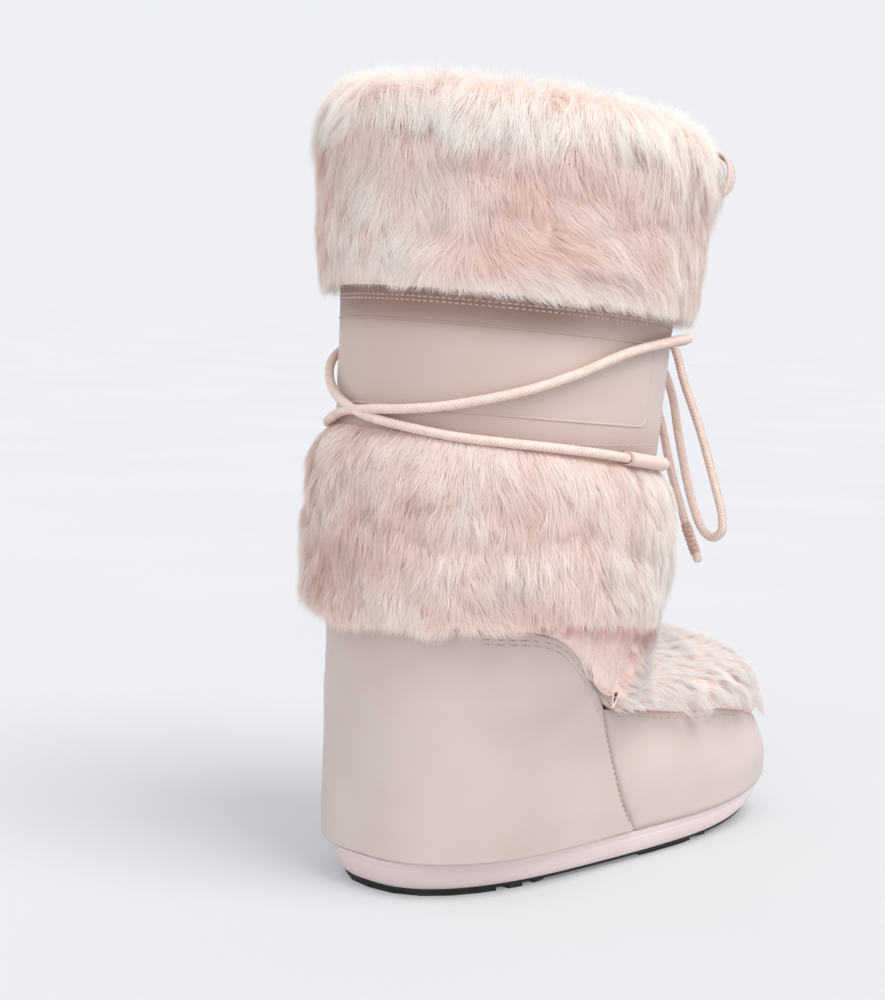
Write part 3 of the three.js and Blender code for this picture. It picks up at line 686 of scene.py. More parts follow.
def braid_material(name, light, dark, around, along):
    """round braid: two sets of slanted carriers crossing on the tube's own map"""
    k = Mat(name, light, 0.75, specular=0.25)
    uv = k.node("ShaderNodeUVMap").outputs["UV"]
    sep = k.node("ShaderNodeSeparateXYZ")
    k.link(uv, sep.inputs[0])
    a = k.math("MULTIPLY", sep.outputs[0], along)
    b = k.math("MULTIPLY", sep.outputs[1], around)
    one = k.math("ABSOLUTE", k.math("SINE", k.math("MULTIPLY", k.math("ADD", a, b), math.pi)))
    two = k.math("ABSOLUTE", k.math("SINE", k.math("MULTIPLY", k.math("SUBTRACT", a, b), math.pi)))
    h = k.math("MINIMUM", one, two)
    h = k.math("POWER", h, 0.6)
    cloud = k.noise(240, 3)
    k.colour(k.mix(0.35, k.ramp(h, [(0.05, dark), (0.55, light)]), k.ramp(cloud, [(0.3, dark), (0.7, light)])))
    k.bump(h, 0.0004, 0.7)
    return k.m


mat_lace = braid_material("lace_braid", lin(244, 223, 212), lin(206, 177, 164), 6, 0.5)
mat_tip = braid_material("tip_binding", lin(222, 192, 180), lin(140, 106, 95), 1, 0.38)

k = Mat("thread", lin(214, 190, 180), 0.7, specular=0.3)
k.colour(k.ramp(k.noise(900, 2), [(0.3, lin(196, 168, 157)), (0.7, lin(226, 206, 197))]))
k.bump(k.noise(3000, 2), 0.0001, 0.4)
mat_thread = k.m
# dark thread: needle holes and stitch grooves, and the painted shade line along the panel's top seam
k = Mat("dark_holes_and_seam_shade", lin(164, 134, 124), 0.8, specular=0.2)
k.colour(k.ramp(k.noise(900, 2), [(0.3, lin(148, 118, 108)), (0.7, lin(182, 152, 142))]))
mat_holes_and_seam_shade = k.m

k = Mat("floor", lin(176, 177, 180), 0.9, specular=0.0)
k.colour(k.ramp(k.noise(3, 2), [(0.3, lin(175, 176, 178.5)), (0.7, lin(178, 179, 181.5))]))
k.b.inputs["Emission Color"].default_value = (*lin(238, 240, 244), 1)
k.b.inputs["Emission Strength"].default_value = 0.25
mat_floor = k.m


# ---------------------------------------------------------------- lace: routes as in the solids
LACE_OVER = np.array([
    [-9, 264], [-30, 266], [-50, 269], [-72, 267.5], [-95, 262.5], [-114, 252.5],
    [-128, 245.5], [-143, 239.6], [-157, 235.5], [-170, 233.3], [-184, 231.8], [-197, 229.5],
    [-210, 224.5], [-224, 221], [-240, 218.5], [-258, 215.5], [-280, 211], [-300, 207.5],
    [-330, 204], [-361, 202.6]], float)
LACE_UNDER = np.array([
    [1, 202.6], [-30, 204], [-60, 207.5], [-80, 211], [-102, 215.5], [-123, 218.8],
    [-138, 220.6], [-152, 222.4], [-170, 226], [-184, 229], [-192, 232], [-203, 236.5],
    [-214, 243], [-223, 248.5], [-235, 254], [-250, 259], [-265, 263.5], [-288, 267.5],
    [-310, 269], [-330, 266], [-351, 264]], float)
LOOP = np.array([
    [103, -11.5, 265.5], [105.5, -20, 268], [106, -28, 264], [106, -37, 244],
    [106, -48.5, 220.5], [105.5, -60, 193], [105, -66, 177], [105, -66, 169.5],
    [105, -60.5, 165.5], [105, -54, 169], [105.5, -45.5, 184], [106.5, -35, 214],
    [107, -27.5, 240], [105.5, -19, 255], [102.5, -11.5, 260]], float)
TAIL = np.array([
    [103.5, -5, 255.5], [107.5, -9.5, 247], [110.5, -18, 226], [110, -27, 200],
    [108.5, -39, 173], [107.5, -50, 152.5]], float)
KNOT = np.array([100, 0, 263.0])
furred = Form(fur_depth)


def leg_point(bearing, z, off=0.0):
    a = math.radians(bearing)
    level = z
    for _ in range(5):
        r = furred.rows(np.array(float(level)))
        ax, cx = (r["front"] - r["back"]) / 2, (r["front"] + r["back"]) / 2
        c, s = math.cos(a), math.sin(a)
        q = 1 / (abs(c / ax) ** r["n"] + abs(s / r["half"]) ** r["n"]) ** (1 / r["n"])
        x, y = cx + q * c, q * s
        level = z + r["tilt"] * x
    return np.array([x + off * math.cos(a), y + off * math.sin(a), z])


def lace_point(bearing, z):
    best = max((leg_point(bearing, z + dz) for dz in (-4, -2, 0, 2, 4)), key=lambda q: math.hypot(q[0], q[1]))
    a, off = math.radians(bearing), LACE / 2 + 1.2
    return np.array([best[0] + off * math.cos(a), best[1] + off * math.sin(a), z])


def tube(name, P, radius, sides, material, hint=(0, 0, 1), ripple=0.0, ends=True, scale=None):
    """a round cord along P, its map in millimetres along and turns round"""
    T, S, U = frames_along(P, hint)
    s = np.concatenate([[0], np.cumsum(np.linalg.norm(np.diff(P, axis=0), axis=1))])
    th = np.arange(sides) / sides * 2 * math.pi
    r = np.full((len(P), sides), radius, float)
    if ripple:
        a, b = s[:, None] * 0.36, th[None] / (2 * math.pi) * 5
        r += ripple * (np.minimum(np.abs(np.sin(math.pi * (a + b))), np.abs(np.sin(math.pi * (a - b)))) ** 0.6 - 0.7)
    if scale is not None:
        r *= np.asarray(scale)[:, None]
    V = P[:, None] + r[..., None] * (np.cos(th)[None, :, None] * S[:, None] + np.sin(th)[None, :, None] * U[:, None])
    n = len(P)
    verts = V.reshape(-1, 3)
    faces = [grid_faces(n, sides, True, 0, True)]
    uv = np.stack([np.repeat(s, sides), np.tile(th / (2 * math.pi), n)], 1)
    if ends:
        # each end is rounded by two smaller rings and a point
        extra, euv = [], []
        base = len(verts)
        for end, sign in ((0, -1), (n - 1, 1)):
            rows = []
            for q in (0.5, 0.85):
                rr = r[end] * math.sqrt(1 - q * q)
                c = P[end] + T[end] * sign * q * r[end].mean() * 0.7
                rows.append(c + rr[:, None] * (np.cos(th)[:, None] * S[end] + np.sin(th)[:, None] * U[end]))
            tip = P[end] + T[end] * sign * r[end].mean() * 0.72
            start = base + len(extra)
            extra += [*rows[0], *rows[1], tip]
            euv += [(s[end], q) for q in th / (2 * math.pi)] * 2 + [(s[end], 0)]
            j = np.arange(sides)
            kx = (j + 1) % sides
            a0 = end * sides
            q1 = np.stack([a0 + j, a0 + kx, start + kx, start + j], 1)
            q2 = np.stack([start + j, start + kx, start + sides + kx, start + sides + j], 1)
            q3 = np.stack([start + sides + j, start + sides + kx, np.full(sides, start + 2 * sides)], 1)
            if sign > 0:
                q1, q2, q3 = q1[:, ::-1], q2[:, ::-1], q3[:, ::-1]
            faces += [q1, q2, q3]
        verts = np.concatenate([verts, np.array(extra)])
        uv = np.concatenate([uv, np.array(euv)])
    o = add_mesh(name, verts, faces, material)
    uv_layer(o, uv)
    return o


over_route = catmull([lace_point(*r) for r in LACE_OVER], 1.7)
under_route = catmull([lace_point(*r) for r in LACE_UNDER], 1.7)
cords = []
for side, name in ((1, "right"), (-1, "left")):
    flip = np.array([1, side, 1.0])
    loop_path = catmull(LOOP * flip, 1.2)
    loop = tube("lace_loop_" + name + "_cord", loop_path, LACE / 2, 16, mat_lace, (1, 0, 0), 0.12)
    piece(loop, ["lace_loop_" + name])
    tail_path = catmull(TAIL * flip, 1.2)
    tail = tube("lace_end_" + name + "_cord", tail_path, LACE / 2, 16, mat_lace, (1, 0, 0), 0.12)
    piece(tail, ["lace_end_" + name])
    cords.append((name, side, loop, loop_path, tail, tail_path))

wrap_over = tube("lace_upper_bar", over_route, LACE / 2, 16, mat_lace, (0, 0, 1), 0.12)
wrap_under = tube("lace_lower_bar", under_route, LACE / 2, 16, mat_lace, (0, 0, 1), 0.12)
piece(wrap_over, ["lace_wrap"])
piece(wrap_under, ["lace_wrap"])

# the knot: a turn round the middle and the four strands that it grips
ring_t = np.linspace(0, 2 * math.pi, 40, endpoint=False)
band = np.stack([KNOT[0] + 1.2 + 3.4 * np.cos(ring_t), KNOT[1] + 0.9 * np.sin(2 * ring_t), KNOT[2] + 4.6 * np.sin(ring_t)], 1)


def closed_tube(P, radius, sides):
    n = len(P)
    T = np.roll(P, -1, 0) - np.roll(P, 1, 0)
    T /= np.linalg.norm(T, axis=1, keepdims=True)
    side = np.array([0, 1.0, 0])
    S = side - T * (T @ side)[:, None]
    S /= np.linalg.norm(S, axis=1, keepdims=True)
    U = np.cross(T, S)
    th = np.arange(sides) / sides * 2 * math.pi
    V = P[:, None] + radius * (np.cos(th)[None, :, None] * S[:, None] + np.sin(th)[None, :, None] * U[:, None])
    i = np.arange(n)[:, None]
    j = np.arange(sides)[None]
    a, b, c, d = i * sides + j, i * sides + (j + 1) % sides, ((i + 1) % n) * sides + (j + 1) % sides, ((i + 1) % n) * sides + j
    s = np.arange(n) * np.linalg.norm(P[1] - P[0])
    uv = np.stack([np.repeat(s, sides), np.tile(th / (2 * math.pi), n)], 1)
    return V.reshape(-1, 3), np.stack([a, b, c, d], -1).reshape(-1, 4), uv


def joined(name, parts, material):
    """several (verts, faces list, uv) as one mesh"""
    V, F, W, start = [], [], [], 0
    for verts, faces, uv in parts:
        V.append(verts)
        W.append(uv)
        F += [np.asarray(f) + start for f in faces]
        start += len(verts)
    o = add_mesh(name, np.concatenate(V), F, material)
    uv_layer(o, np.concatenate(W))
    return o


def raw_tube(P, radius, sides, hint):
    T, S, U = frames_along(P, hint)
    s = np.concatenate([[0], np.cumsum(np.linalg.norm(np.diff(P, axis=0), axis=1))])
    th = np.arange(sides) / sides * 2 * math.pi
    V = P[:, None] + radius * (np.cos(th)[None, :, None] * S[:, None] + np.sin(th)[None, :, None] * U[:, None])
    n = len(P)
    faces = [grid_faces(n, sides, True, 0, True)]
    verts = np.concatenate([V.reshape(-1, 3), [P[0], P[-1]]])
    j = np.arange(sides)
    kx = (j + 1) % sides
    faces.append(np.stack([np.full(sides, n * sides), j, kx], 1))
    a0 = (n - 1) * sides
    faces.append(np.stack([np.full(sides, n * sides + 1), a0 + kx, a0 + j], 1))
    uv = np.concatenate([np.stack([np.repeat(s, sides), np.tile(th / (2 * math.pi), n)], 1), [[0, 0], [s[-1], 0]]])
    return verts, faces, uv


knot_parts = []
v, f, w = closed_tube(band, LACE / 2, 14)
knot_parts.append((v, [f], w))
for side in (1, -1):
    for pts in ([(99.5, 0, 264), (101.5, -6, 265.5), (103, -11.5, 265.5), (104.6, -16, 267)],
                [(99.5, 0, 261.5), (100.8, -6, 260.5), (102.5, -11.5, 260), (104, -15, 257.6)],
                [(99.8, 0, 262), (101.6, -2.5, 259), (103.5, -5, 255.5)],
                [(98.5, 0, 263), (97.5, -8, 263.4), (95.5, -16, 264)]):
        knot_parts.append(raw_tube(catmull(np.array(pts, float) * (1, side, 1), 1.2), LACE / 2 - 0.05, 14, (1, 0, 0)))
knot = joined("lace_knot_turns", knot_parts, mat_lace)
piece(knot, ["lace_knot"])

for name, side, loop, loop_path, tail, tail_path in cords:
    # binding over the last 21 mm of the end
    s = np.concatenate([[0], np.cumsum(np.linalg.norm(np.diff(tail_path, axis=0), axis=1))])
    keep = catmull(tail_path[s > s[-1] - 21.0][::3], 0.6)
    q = np.linspace(0, 1, len(keep))
    prof = 1.0 - 0.16 * np.clip((0.12 - q) / 0.12, 0, 1) - 0.3 * np.clip((q - 0.86) / 0.14, 0, 1) ** 2
    wrap = 1 + 0.05 * np.sin(q * 2 * math.pi * 7)  # the thread's turns
    tip = tube("lace_tip_" + name, keep, LACE / 2 + 0.5, 16, mat_tip, (1, 0, 0), 0.0, True, prof * wrap)
    piece(tip)


# ---------------------------------------------------------------- creases and swellings
# side -1 is the right; x, z: middle; dx, dz: half reach; turn: degrees; out: millimetres outwards
SHELL_FOLDS = [
    (-30, 40, 26, 30, 0, 0.9), (-64, 70, 20, 34, 8, 0.7), (6, 60, 14, 22, -20, -0.7),
    (-8, 92, 20, 8, 40, -0.9), (-44, 112, 30, 8, -4, -0.8), (44, 40, 12, 22, -30, 0.5),
    (90, 44, 34, 16, 4, 0.7), (140, 50, 22, 14, 10, -0.5), (64, 66, 26, 6, 6, -0.6), (172, 40, 16, 16, 20, 0.5),
]


def shell_push(P):
    """how far the moulded shells swell or dip at points P"""
    x, y, z = P[..., 0], P[..., 1], P[..., 2]
    out = np.zeros(P.shape[:-1])
    for cx, cz, dx, dz, ang, amount in SHELL_FOLDS:
        a = math.radians(ang)
        for side in (-1, 1):
            sx = (x - cx) * math.cos(a) + (z - cz) * math.sin(a)
            sz = -(x - cx) * math.sin(a) + (z - cz) * math.cos(a)
            out += np.where(y * side > 0, amount * np.exp(-(sx / dx) ** 2 - (sz / dz) ** 2), 0) * np.clip(np.abs(y) / 25, 0, 1)
    return out + 0.35 * noise_a(P, 34.0) + 0.12 * noise_b(P, 13.0)


# ---------------------------------------------------------------- heel shell
def boundary_x(z):
    """x of the heel shell's front edge at a height"""
    z = np.asarray(z, float)
    seam = monotone(SIDE_SEAM[::-1, 1], SIDE_SEAM[::-1, 0], np.clip(z, 17, 86))
    top = monotone(HEEL_TOPLINE[::-1, 1][:-1], HEEL_TOPLINE[::-1, 0][:-1], np.clip(z, 86, 131))
    return np.where(z < 86, seam, top)


def half_u_at(level, x):
    """u on the left half of the ring of a level where it reaches x"""
    i = np.clip((level - dense.low) / dense.step, 0, len(dense.levels) - 1.001)
    k = int(i)
    a = i - k
    row = dense.P[k] * (1 - a) + dense.P[k + 1] * a
    half = row[:361, 0]
    return float(np.interp(x, half, np.arange(361) / 720.0))


def edge_round(distance, radius):
    """how far a hem of a radius falls back at a distance from its edge"""
    t = np.clip(distance / radius, 0, 1)
    return radius * (1 - np.sqrt(np.clip(1 - (1 - t) ** 2, 0, 1)))


ROWS, COLS = 44, 118
lv = np.concatenate([np.linspace(18.6, 20.4, 4, endpoint=False), np.linspace(20.4, 129.6, ROWS - 8), np.linspace(129.9, 131, 4)])
outer_rows, inner_rows, normal_rows = [], [], []
for level in lv:
    uh = half_u_at(level, float(boundary_x(level)) - 0.17)
    c = np.linspace(-1, 1, COLS + 1)
    c = np.sign(c) * (np.abs(c) * 0.9 + 0.1 * np.abs(c) ** 0.5 * np.abs(c))
    u = c * uh
    p, n = dense.at(u, np.full(len(u), level))
    arc = np.abs(1 - np.abs(c)) * uh * np.linalg.norm(dense.take(dense.du, u, np.full(len(u), level)), axis=-1)
    fall = edge_round(arc, 0.9) + edge_round(np.full(len(u), level - 18.6), 0.8)
    push = shell_push(p) * np.clip(arc / 12, 0, 1)
    outer_rows.append(p + n * (push - np.minimum(fall, 1.5))[:, None])
    inner_rows.append(p - n * SHELL)
    normal_rows.append(n)
outer, inner, nn = np.array(outer_rows), np.array(inner_rows), np.array(normal_rows)
verts, faces = slab(outer, inner, False)
if not outward(verts, faces, 0, 0, nn):
    faces = turned(faces)
heel_shell = add_mesh("heel_quarter", verts, faces, mat_shell)
piece(heel_shell, ["heel_shell"])

# ---------------------------------------------------------------- toe shell
COLS_T = 130
c = np.linspace(-1, 1, COLS_T + 1)
fine = np.arange(18.6, 92, 0.7)
P_f, N_f = [], []
for level in fine:
    uh = half_u_at(level, float(boundary_x(min(level, 85.9))) + 0.17)
    u = 0.5 - c * (0.5 - uh)
    p, n = dense.at(u, np.full(len(u), level))
    P_f.append(p)
    N_f.append(n)
P_f, N_f = np.array(P_f), np.array(N_f)
top_gap = P_f[..., 2] - monotone(TOE_TOPLINE[:, 0], TOE_TOPLINE[:, 1], P_f[..., 0])
ROWS_T = 28
outer = np.empty((ROWS_T, COLS_T + 1, 3))
inner, nn = outer.copy(), outer.copy()
for j in range(COLS_T + 1):
    g = top_gap[:, j]
    i = int(np.argmax(g > 0)) if (g > 0).any() else len(g) - 1
    i = max(i, 1)
    top = fine[i - 1] + (0 - g[i - 1]) / (g[i] - g[i - 1] + 1e-9) * (fine[i] - fine[i - 1])
    q = np.linspace(0, 1, ROWS_T)
    q = np.where(q < 0.5, q, q) ** 1.0
    L = 18.6 + (top - 18.6) * q
    f = (L - fine[0]) / 0.7
    k0 = np.clip(f.astype(int), 0, len(fine) - 2)
    a = (f - k0)[:, None]
    outer[:, j] = P_f[k0, j] * (1 - a) + P_f[k0 + 1, j] * a
    nn[:, j] = N_f[k0, j] * (1 - a) + N_f[k0 + 1, j] * a
nn /= np.linalg.norm(nn, axis=2, keepdims=True)
toe_grid, toe_normals = outer.copy(), nn.copy()
inner = outer - nn * SHELL
arc_seam = np.minimum(np.arange(COLS_T + 1), COLS_T - np.arange(COLS_T + 1)) * np.linalg.norm(np.diff(outer[5], axis=0), axis=1).mean()
arc_top = (outer[-1:, :, 2] - outer[..., 2])
fall = edge_round(arc_seam[None, :] + 0 * arc_top, 0.9) + edge_round(outer[..., 2] - outer[:1, :, 2], 0.8) + edge_round(arc_top, 1.0)
push = shell_push(outer) * np.clip(arc_seam[None] / 12, 0, 1)
outer = outer + nn * (push - np.minimum(fall, 1.6))[..., None]
verts, faces = slab(outer, inner, False)
if not outward(verts, faces, 0, 0, nn):
    faces = turned(faces)
toe_shell = add_mesh("toe_wall", verts, faces, mat_shell)
piece(toe_shell, ["toe_shell"])


# ---------------------------------------------------------------- sole band
def sole_half(x, inset):
    half = SOLE_LENGTH / 2 - inset
    u = (x - SOLE_CENTRE) / half
    t = np.clip((u + 1) / 2, 0, 1)
    width = (HEEL_WIDTH + (BALL_WIDTH - HEEL_WIDTH) * t) / 2 - inset - WAIST * np.exp(-(((x - 22) / 42) ** 2))
    return width * np.clip(1 - np.minimum(np.abs(u), 1) ** OUTLINE_POWER, 0, 1) ** (1 / OUTLINE_POWER)


def sole_ring(inset, z, half=110, lift=1.0):
    back, front = SOLE_CENTRE - SOLE_LENGTH / 2, SOLE_CENTRE + SOLE_LENGTH / 2
    ins = inset if callable(inset) else (lambda x, k=inset: np.full_like(np.asarray(x, float), k))
    a, b = back + float(ins(np.array(back))), front - float(ins(np.array(front)))
    x = a + (b - a) * (1 - np.cos(np.linspace(0, math.pi, 721))) / 2
    local = ins(x)
    squeeze = (x - SOLE_CENTRE) / ((b - a) / 2) * (SOLE_LENGTH / 2 - local) + SOLE_CENTRE
    w = sole_half(squeeze, local)
    w[0] = w[-1] = 0
    s = np.concatenate([[0], np.cumsum(np.hypot(np.diff(x), np.diff(w)))])
    g = np.linspace(0, s[-1], half + 1)
    X, Y = np.interp(g, s, x), np.interp(g, s, w)
    Y[0] = Y[-1] = 0
    h = np.stack([X, Y, z + spring(X) * lift], 1)
    return np.concatenate([h, h[1:-1][::-1] * (1, -1, 1)])


# inset and height up the band's side, with a fine rim at the top and a second line under it
BAND_PROFILE = [(9.5, 3.6), (7.3, 3.6), (6.4, 4.1), (5.4, 5.0), (4.2, 6.6), (3.1, 8.6), (2.2, 10.8), (1.5, 12.8),
                (1.15, 14.0), (1.2, 14.3), (0.95, 14.6), (0.5, 16.4), (0.15, 17.3), (0.15, 17.8), (0.6, 18.15), (2.2, 18.2), (8.0, 18.2)]
rings = np.array([sole_ring(i, z) for i, z in BAND_PROFILE])
cols = rings.shape[1]
# a slightly uneven upper line, as where the band meets the shell
wob = noise_c(rings, 16.0) * 0.25 + noise_b(rings, 6.0) * 0.12
zlift = np.clip((rings[..., 2] - spring(rings[..., 0]) - 12.5) / 3, 0, 1) * np.clip((18.15 - (rings[..., 2] - spring(rings[..., 0]))) / 0.5, 0, 1)
rings[..., 2] += wob * zlift
lower, upper_ring = rings[0], rings[-1]
verts = rings.reshape(-1, 3)
faces = [grid_faces(len(BAND_PROFILE), cols, True)]


def cap_strip(start, half):
    """a flat cap of a ring of 2 * half points, in strips across"""
    out4, out3 = [], []
    for j in range(1, half - 1):
        out4.append([start + j, start + j + 1, start + 2 * half - j - 1, start + 2 * half - j])
    out3.append([start, start + 1, start + 2 * half - 1])
    out3.append([start + half - 1, start + half, start + half + 1])
    return np.array(out4), np.array(out3)


q4, q3 = cap_strip(0, cols // 2)
faces += [q4[:, ::-1], q3[:, ::-1]]
q4, q3 = cap_strip((len(BAND_PROFILE) - 1) * cols, cols // 2)
faces += [q4, q3]
band_piece = add_mesh("sole_band_ring", verts, faces, mat_band)
piece(band_piece, ["midsole"])


# the tread plate's thin edge, seen as a dark line all along under the band
edge_rows = [sole_ring(i, z, 70) for i, z in ((14.0, 3.55), (7.1, 3.55), (6.9, 3.0), (7.3, 2.2), (8.6, 1.8), (14.0, 1.8))]
edge_rows = np.array(edge_rows)
er, ec = edge_rows.shape[:2]
verts = edge_rows.reshape(-1, 3)
j = np.arange(ec)
faces = [grid_faces(er, ec, True), np.stack([(er - 1) * ec + j, (er - 1) * ec + (j + 1) % ec, (j + 1) % ec, j], 1)]
mid_row = faces[0][len(faces[0]) // 2]
look = np.cross(verts[mid_row[1]] - verts[mid_row[0]], verts[mid_row[2]] - verts[mid_row[1]])
if look @ (verts[mid_row].mean(0) - edge_rows.mean((0, 1))) < 0:
    faces = turned(faces)
tread_edge = add_mesh("tread_edge", verts, faces, mat_tread)
piece(tread_edge)

# ---------------------------------------------------------------- shaft panel, lining
def panel_push(p):
    """soft hollows of the padded shaft, by bearing and height"""
    b, z = bearing_of(p), p[..., 2]
    out = np.zeros(p.shape[:-1])
    for cb, cz, db, dz, tilt, amount in (
            (-160, 262, 26, 9, 0.05, 0.8), (-120, 250, 30, 12, -0.1, 0.6), (-88, 262, 18, 8, 0.1, -0.8),
            (-140, 236, 40, 6, 0.05, -0.9), (-100, 222, 34, 5, 0.05, 0.5), (-60, 248, 16, 16, 0, 0.6),
            (160, 250, 20, 14, 0.1, 0.6), (110, 258, 28, 9, 0, -0.7), (70, 240, 24, 10, 0.1, 0.8),
            (20, 250, 18, 16, 0, 0.8), (-20, 232, 16, 10, 0, -0.7)):
        d = turn(b, cb)
        out += amount * np.exp(-(d / db) ** 2 - ((z - cz - tilt * d) / dz) ** 2)
    return out + 0.3 * noise_a(p, 30.0) + 0.1 * noise_b(p, 12.0)


P_COLS = 170
lv = np.linspace(200, 292, 24)
u = np.arange(P_COLS) / P_COLS
outer, nn = [], []
for level in lv:
    p, n = dense.at(u, np.full(P_COLS, level))
    outer.append(p + n * (panel_push(p) - 0.6)[:, None])
    nn.append(n)
outer, nn = np.array(outer), np.array(nn)
inner = outer - nn * 1.4
verts, faces = slab(outer, inner, True)
if not outward(verts, faces, 0, 0, nn):
    faces = turned(faces)
panel = add_mesh("shaft_panel", verts, faces, mat_panel)
piece(panel, ["upper"])

lv = np.concatenate([np.linspace(24.4, 60, 9), np.linspace(66, 371, 20)])
uu = np.arange(120) / 120
inside = Form(-7.0)
outer, nn = [], []
for level in lv:
    r = inside.ring(level, 44)
    p = np.concatenate([r, r[1:-1][::-1] * (1, -1, 1)])
    outer.append(p)
outer = np.array(outer)
d1 = np.roll(outer, -1, 1) - np.roll(outer, 1, 1)
d2 = np.gradient(outer, axis=0)
nn = np.cross(d2, d1)
nn /= np.linalg.norm(nn, axis=2, keepdims=True)
if (nn * (outer - outer.mean(1, keepdims=True))).sum() < 0:
    nn = -nn
face_in = outer + nn * (0.35 * noise_a(outer, 22.0) - 0.15)[..., None]
verts, faces = slab(face_in + nn * 1.3, face_in, True)
if not outward(verts, faces, 0, 0, nn):
    faces = turned(faces)
lining = add_mesh("lining_sleeve", verts, faces, mat_lining)
piece(lining, ["upper"])


# ---------------------------------------------------------------- lie and height of the pile
# lie of the pile: bearing, height, degrees from straight down (positive towards the
# bearing's increase), reach round and up in millimetres
LIE = [
    (-168, 340, -8, 26, 30), (-150, 345, 14, 22, 18), (-136, 330, 34, 20, 22), (-118, 318, 66, 22, 20),
    (-128, 300, 52, 26, 16), (-100, 312, 62, 22, 18), (-108, 340, 30, 18, 16), (-84, 335, 14, 20, 30),
    (-84, 300, 36, 20, 14), (-62, 330, 10, 20, 40), (-160, 300, -4, 24, 20), (170, 320, -10, 24, 40),
    (-40, 330, 20, 24, 30), (0, 330, -14, 26, 30), (40, 320, 22, 26, 34), (80, 340, -18, 26, 26),
    (84, 305, -40, 24, 22), (120, 320, -24, 26, 30), (140, 345, 16, 22, 22),
    (-120, 170, 6, 40, 40), (-90, 175, 14, 30, 34), (-60, 170, 10, 30, 34), (-160, 170, -5, 34, 40),
    (60, 170, -14, 34, 34), (110, 165, -5, 40, 40), (0, 160, 5, 24, 34),
]
# hollows and partings of the pile: bearing, height, reach round, reach up, share of the pile lost
HOLLOWS = [
    (-138, 334, 9, 4, 0.55), (-128, 322, 5, 9, 0.5), (-116, 340, 10, 3.5, 0.45), (-150, 352, 12, 3, 0.45),
    (-165, 366, 12, 3, 0.45), (-104, 326, 9, 4, 0.4), (-86, 330, 10, 3, 0.4), (-155, 322, 5, 10, 0.35),
    (-96, 358, 10, 3.5, 0.4), (-112, 300, 14, 3, 0.35), (-60, 322, 10, 3, 0.35),
    (60, 330, 12, 4, 0.5), (100, 342, 9, 4, 0.5), (20, 326, 12, 4, 0.45), (150, 318, 10, 4, 0.4), (-15, 345, 10, 4, 0.45),
    (-154, 198, 9, 3.5, 0.6), (-165, 186, 10, 3.5, 0.5), (-150, 180, 13, 3.5, 0.6), (-138, 178, 8, 4, 0.45),
    (-176, 190, 6, 6, 0.4), (-112, 184, 9, 4, 0.35), (-90, 176, 9, 4, 0.3), (60, 186, 12, 4, 0.5),
    (100, 176, 12, 4, 0.5), (10, 178, 10, 5, 0.4), (140, 190, 10, 4, 0.45),
    (-48, 350, 16, 11, -0.2),
]


def lie_angle(p):
    """degrees of the comb from straight down at points p"""
    b, z = bearing_of(p), p[..., 2]
    num = np.zeros(p.shape[:-1])
    den = np.full(p.shape[:-1], 0.25)
    for cb, cz, deg, rb, rz in LIE:
        d = turn(b, cb) * 1.6  # degrees to millimetres on a leg of this size
        w = np.exp(-(d / rb) ** 2 - ((z - cz) / rz) ** 2)
        num += w * deg
        den += w
    return num / den + 26 * noise_a(p, 26.0) + 20 * noise_c(p, 10.0)


def pile_height(p):
    b, z = bearing_of(p), p[..., 2]
    k = np.ones(p.shape[:-1])
    for cb, cz, rb, rz, loss in HOLLOWS:
        d = turn(b, cb) * 1.6
        k *= 1 - loss * np.exp(-(d / rb) ** 2 - ((z - cz) / rz) ** 2)
    return k * (1 + 0.15 * noise_b(p, 17.0) + 0.1 * noise_a(p, 7.0))


# ---------------------------------------------------------------- the ground under the fur
def fur_low(x):
    """height of the shells' upper edge, seen from the side"""
    heel = monotone(HEEL_TOPLINE[:, 0], HEEL_TOPLINE[:, 1], np.clip(x, -120, 18))
    toe = monotone(TOE_TOPLINE[:, 0], TOE_TOPLINE[:, 1], np.clip(x, 18, 240))
    return np.where(x < 18, heel, toe)


def band_low(x):
    """height of the ankle band's lower hair edge"""
    return np.interp(x, [-100, -80, -60, -38, -20, 0, 27, 60, 110], [128, 129, 131, 134.5, 135, 133, 129.5, 126.5, 124.5])


def crease_x(z):
    """where the fur over the foot starts, beside the gusset"""
    return np.interp(z, [84, 95, 107, 122, 140], [13, 16, 24, 33, 37])


def band_top(p):
    """level of the ankle band's upper edge, just under the lower turn of the lace"""
    return np.interp(np.abs(bearing_of(p)), [0, 30, 60, 80, 100, 123, 140, 155, 180],
                     [204.5, 206.5, 209, 210.5, 213, 215.5, 217.5, 218.5, 218.5])


def ramp01(v, a, b):
    t = np.clip((v - a) / (b - a), 0, 1)
    return t * t * (3 - 2 * t)


def pile_of(p, level):
    """depth of the pile over the form"""
    x, z = p[..., 0], p[..., 2]
    t = band_top(p) - level
    upper_part = np.interp(t, [-1, 0, 3, 8, 15, 24], [0.6, 1.0, 4.0, 9.0, 12.6, 14.6])
    band = np.where(level > 180, np.minimum(upper_part, 15.2), fur_depth(level))
    band = np.where(level < 225, band, fur_depth(level))
    over_foot = np.minimum(fur_depth(level), 13.5) * (0.45 + 0.55 * ramp01(x - crease_x(z), 0, 12))
    below = np.where(x < crease_x(z), 3.4, over_foot)
    below = below - np.where(np.abs(p[..., 1]) > 25, 2.2 * np.exp(-((x - crease_x(z)) / 2.6) ** 2), 0)
    w = ramp01(z - band_low(x), -1.0, 2.5)
    return np.where(level < 160, band * w + below * (1 - w), band)


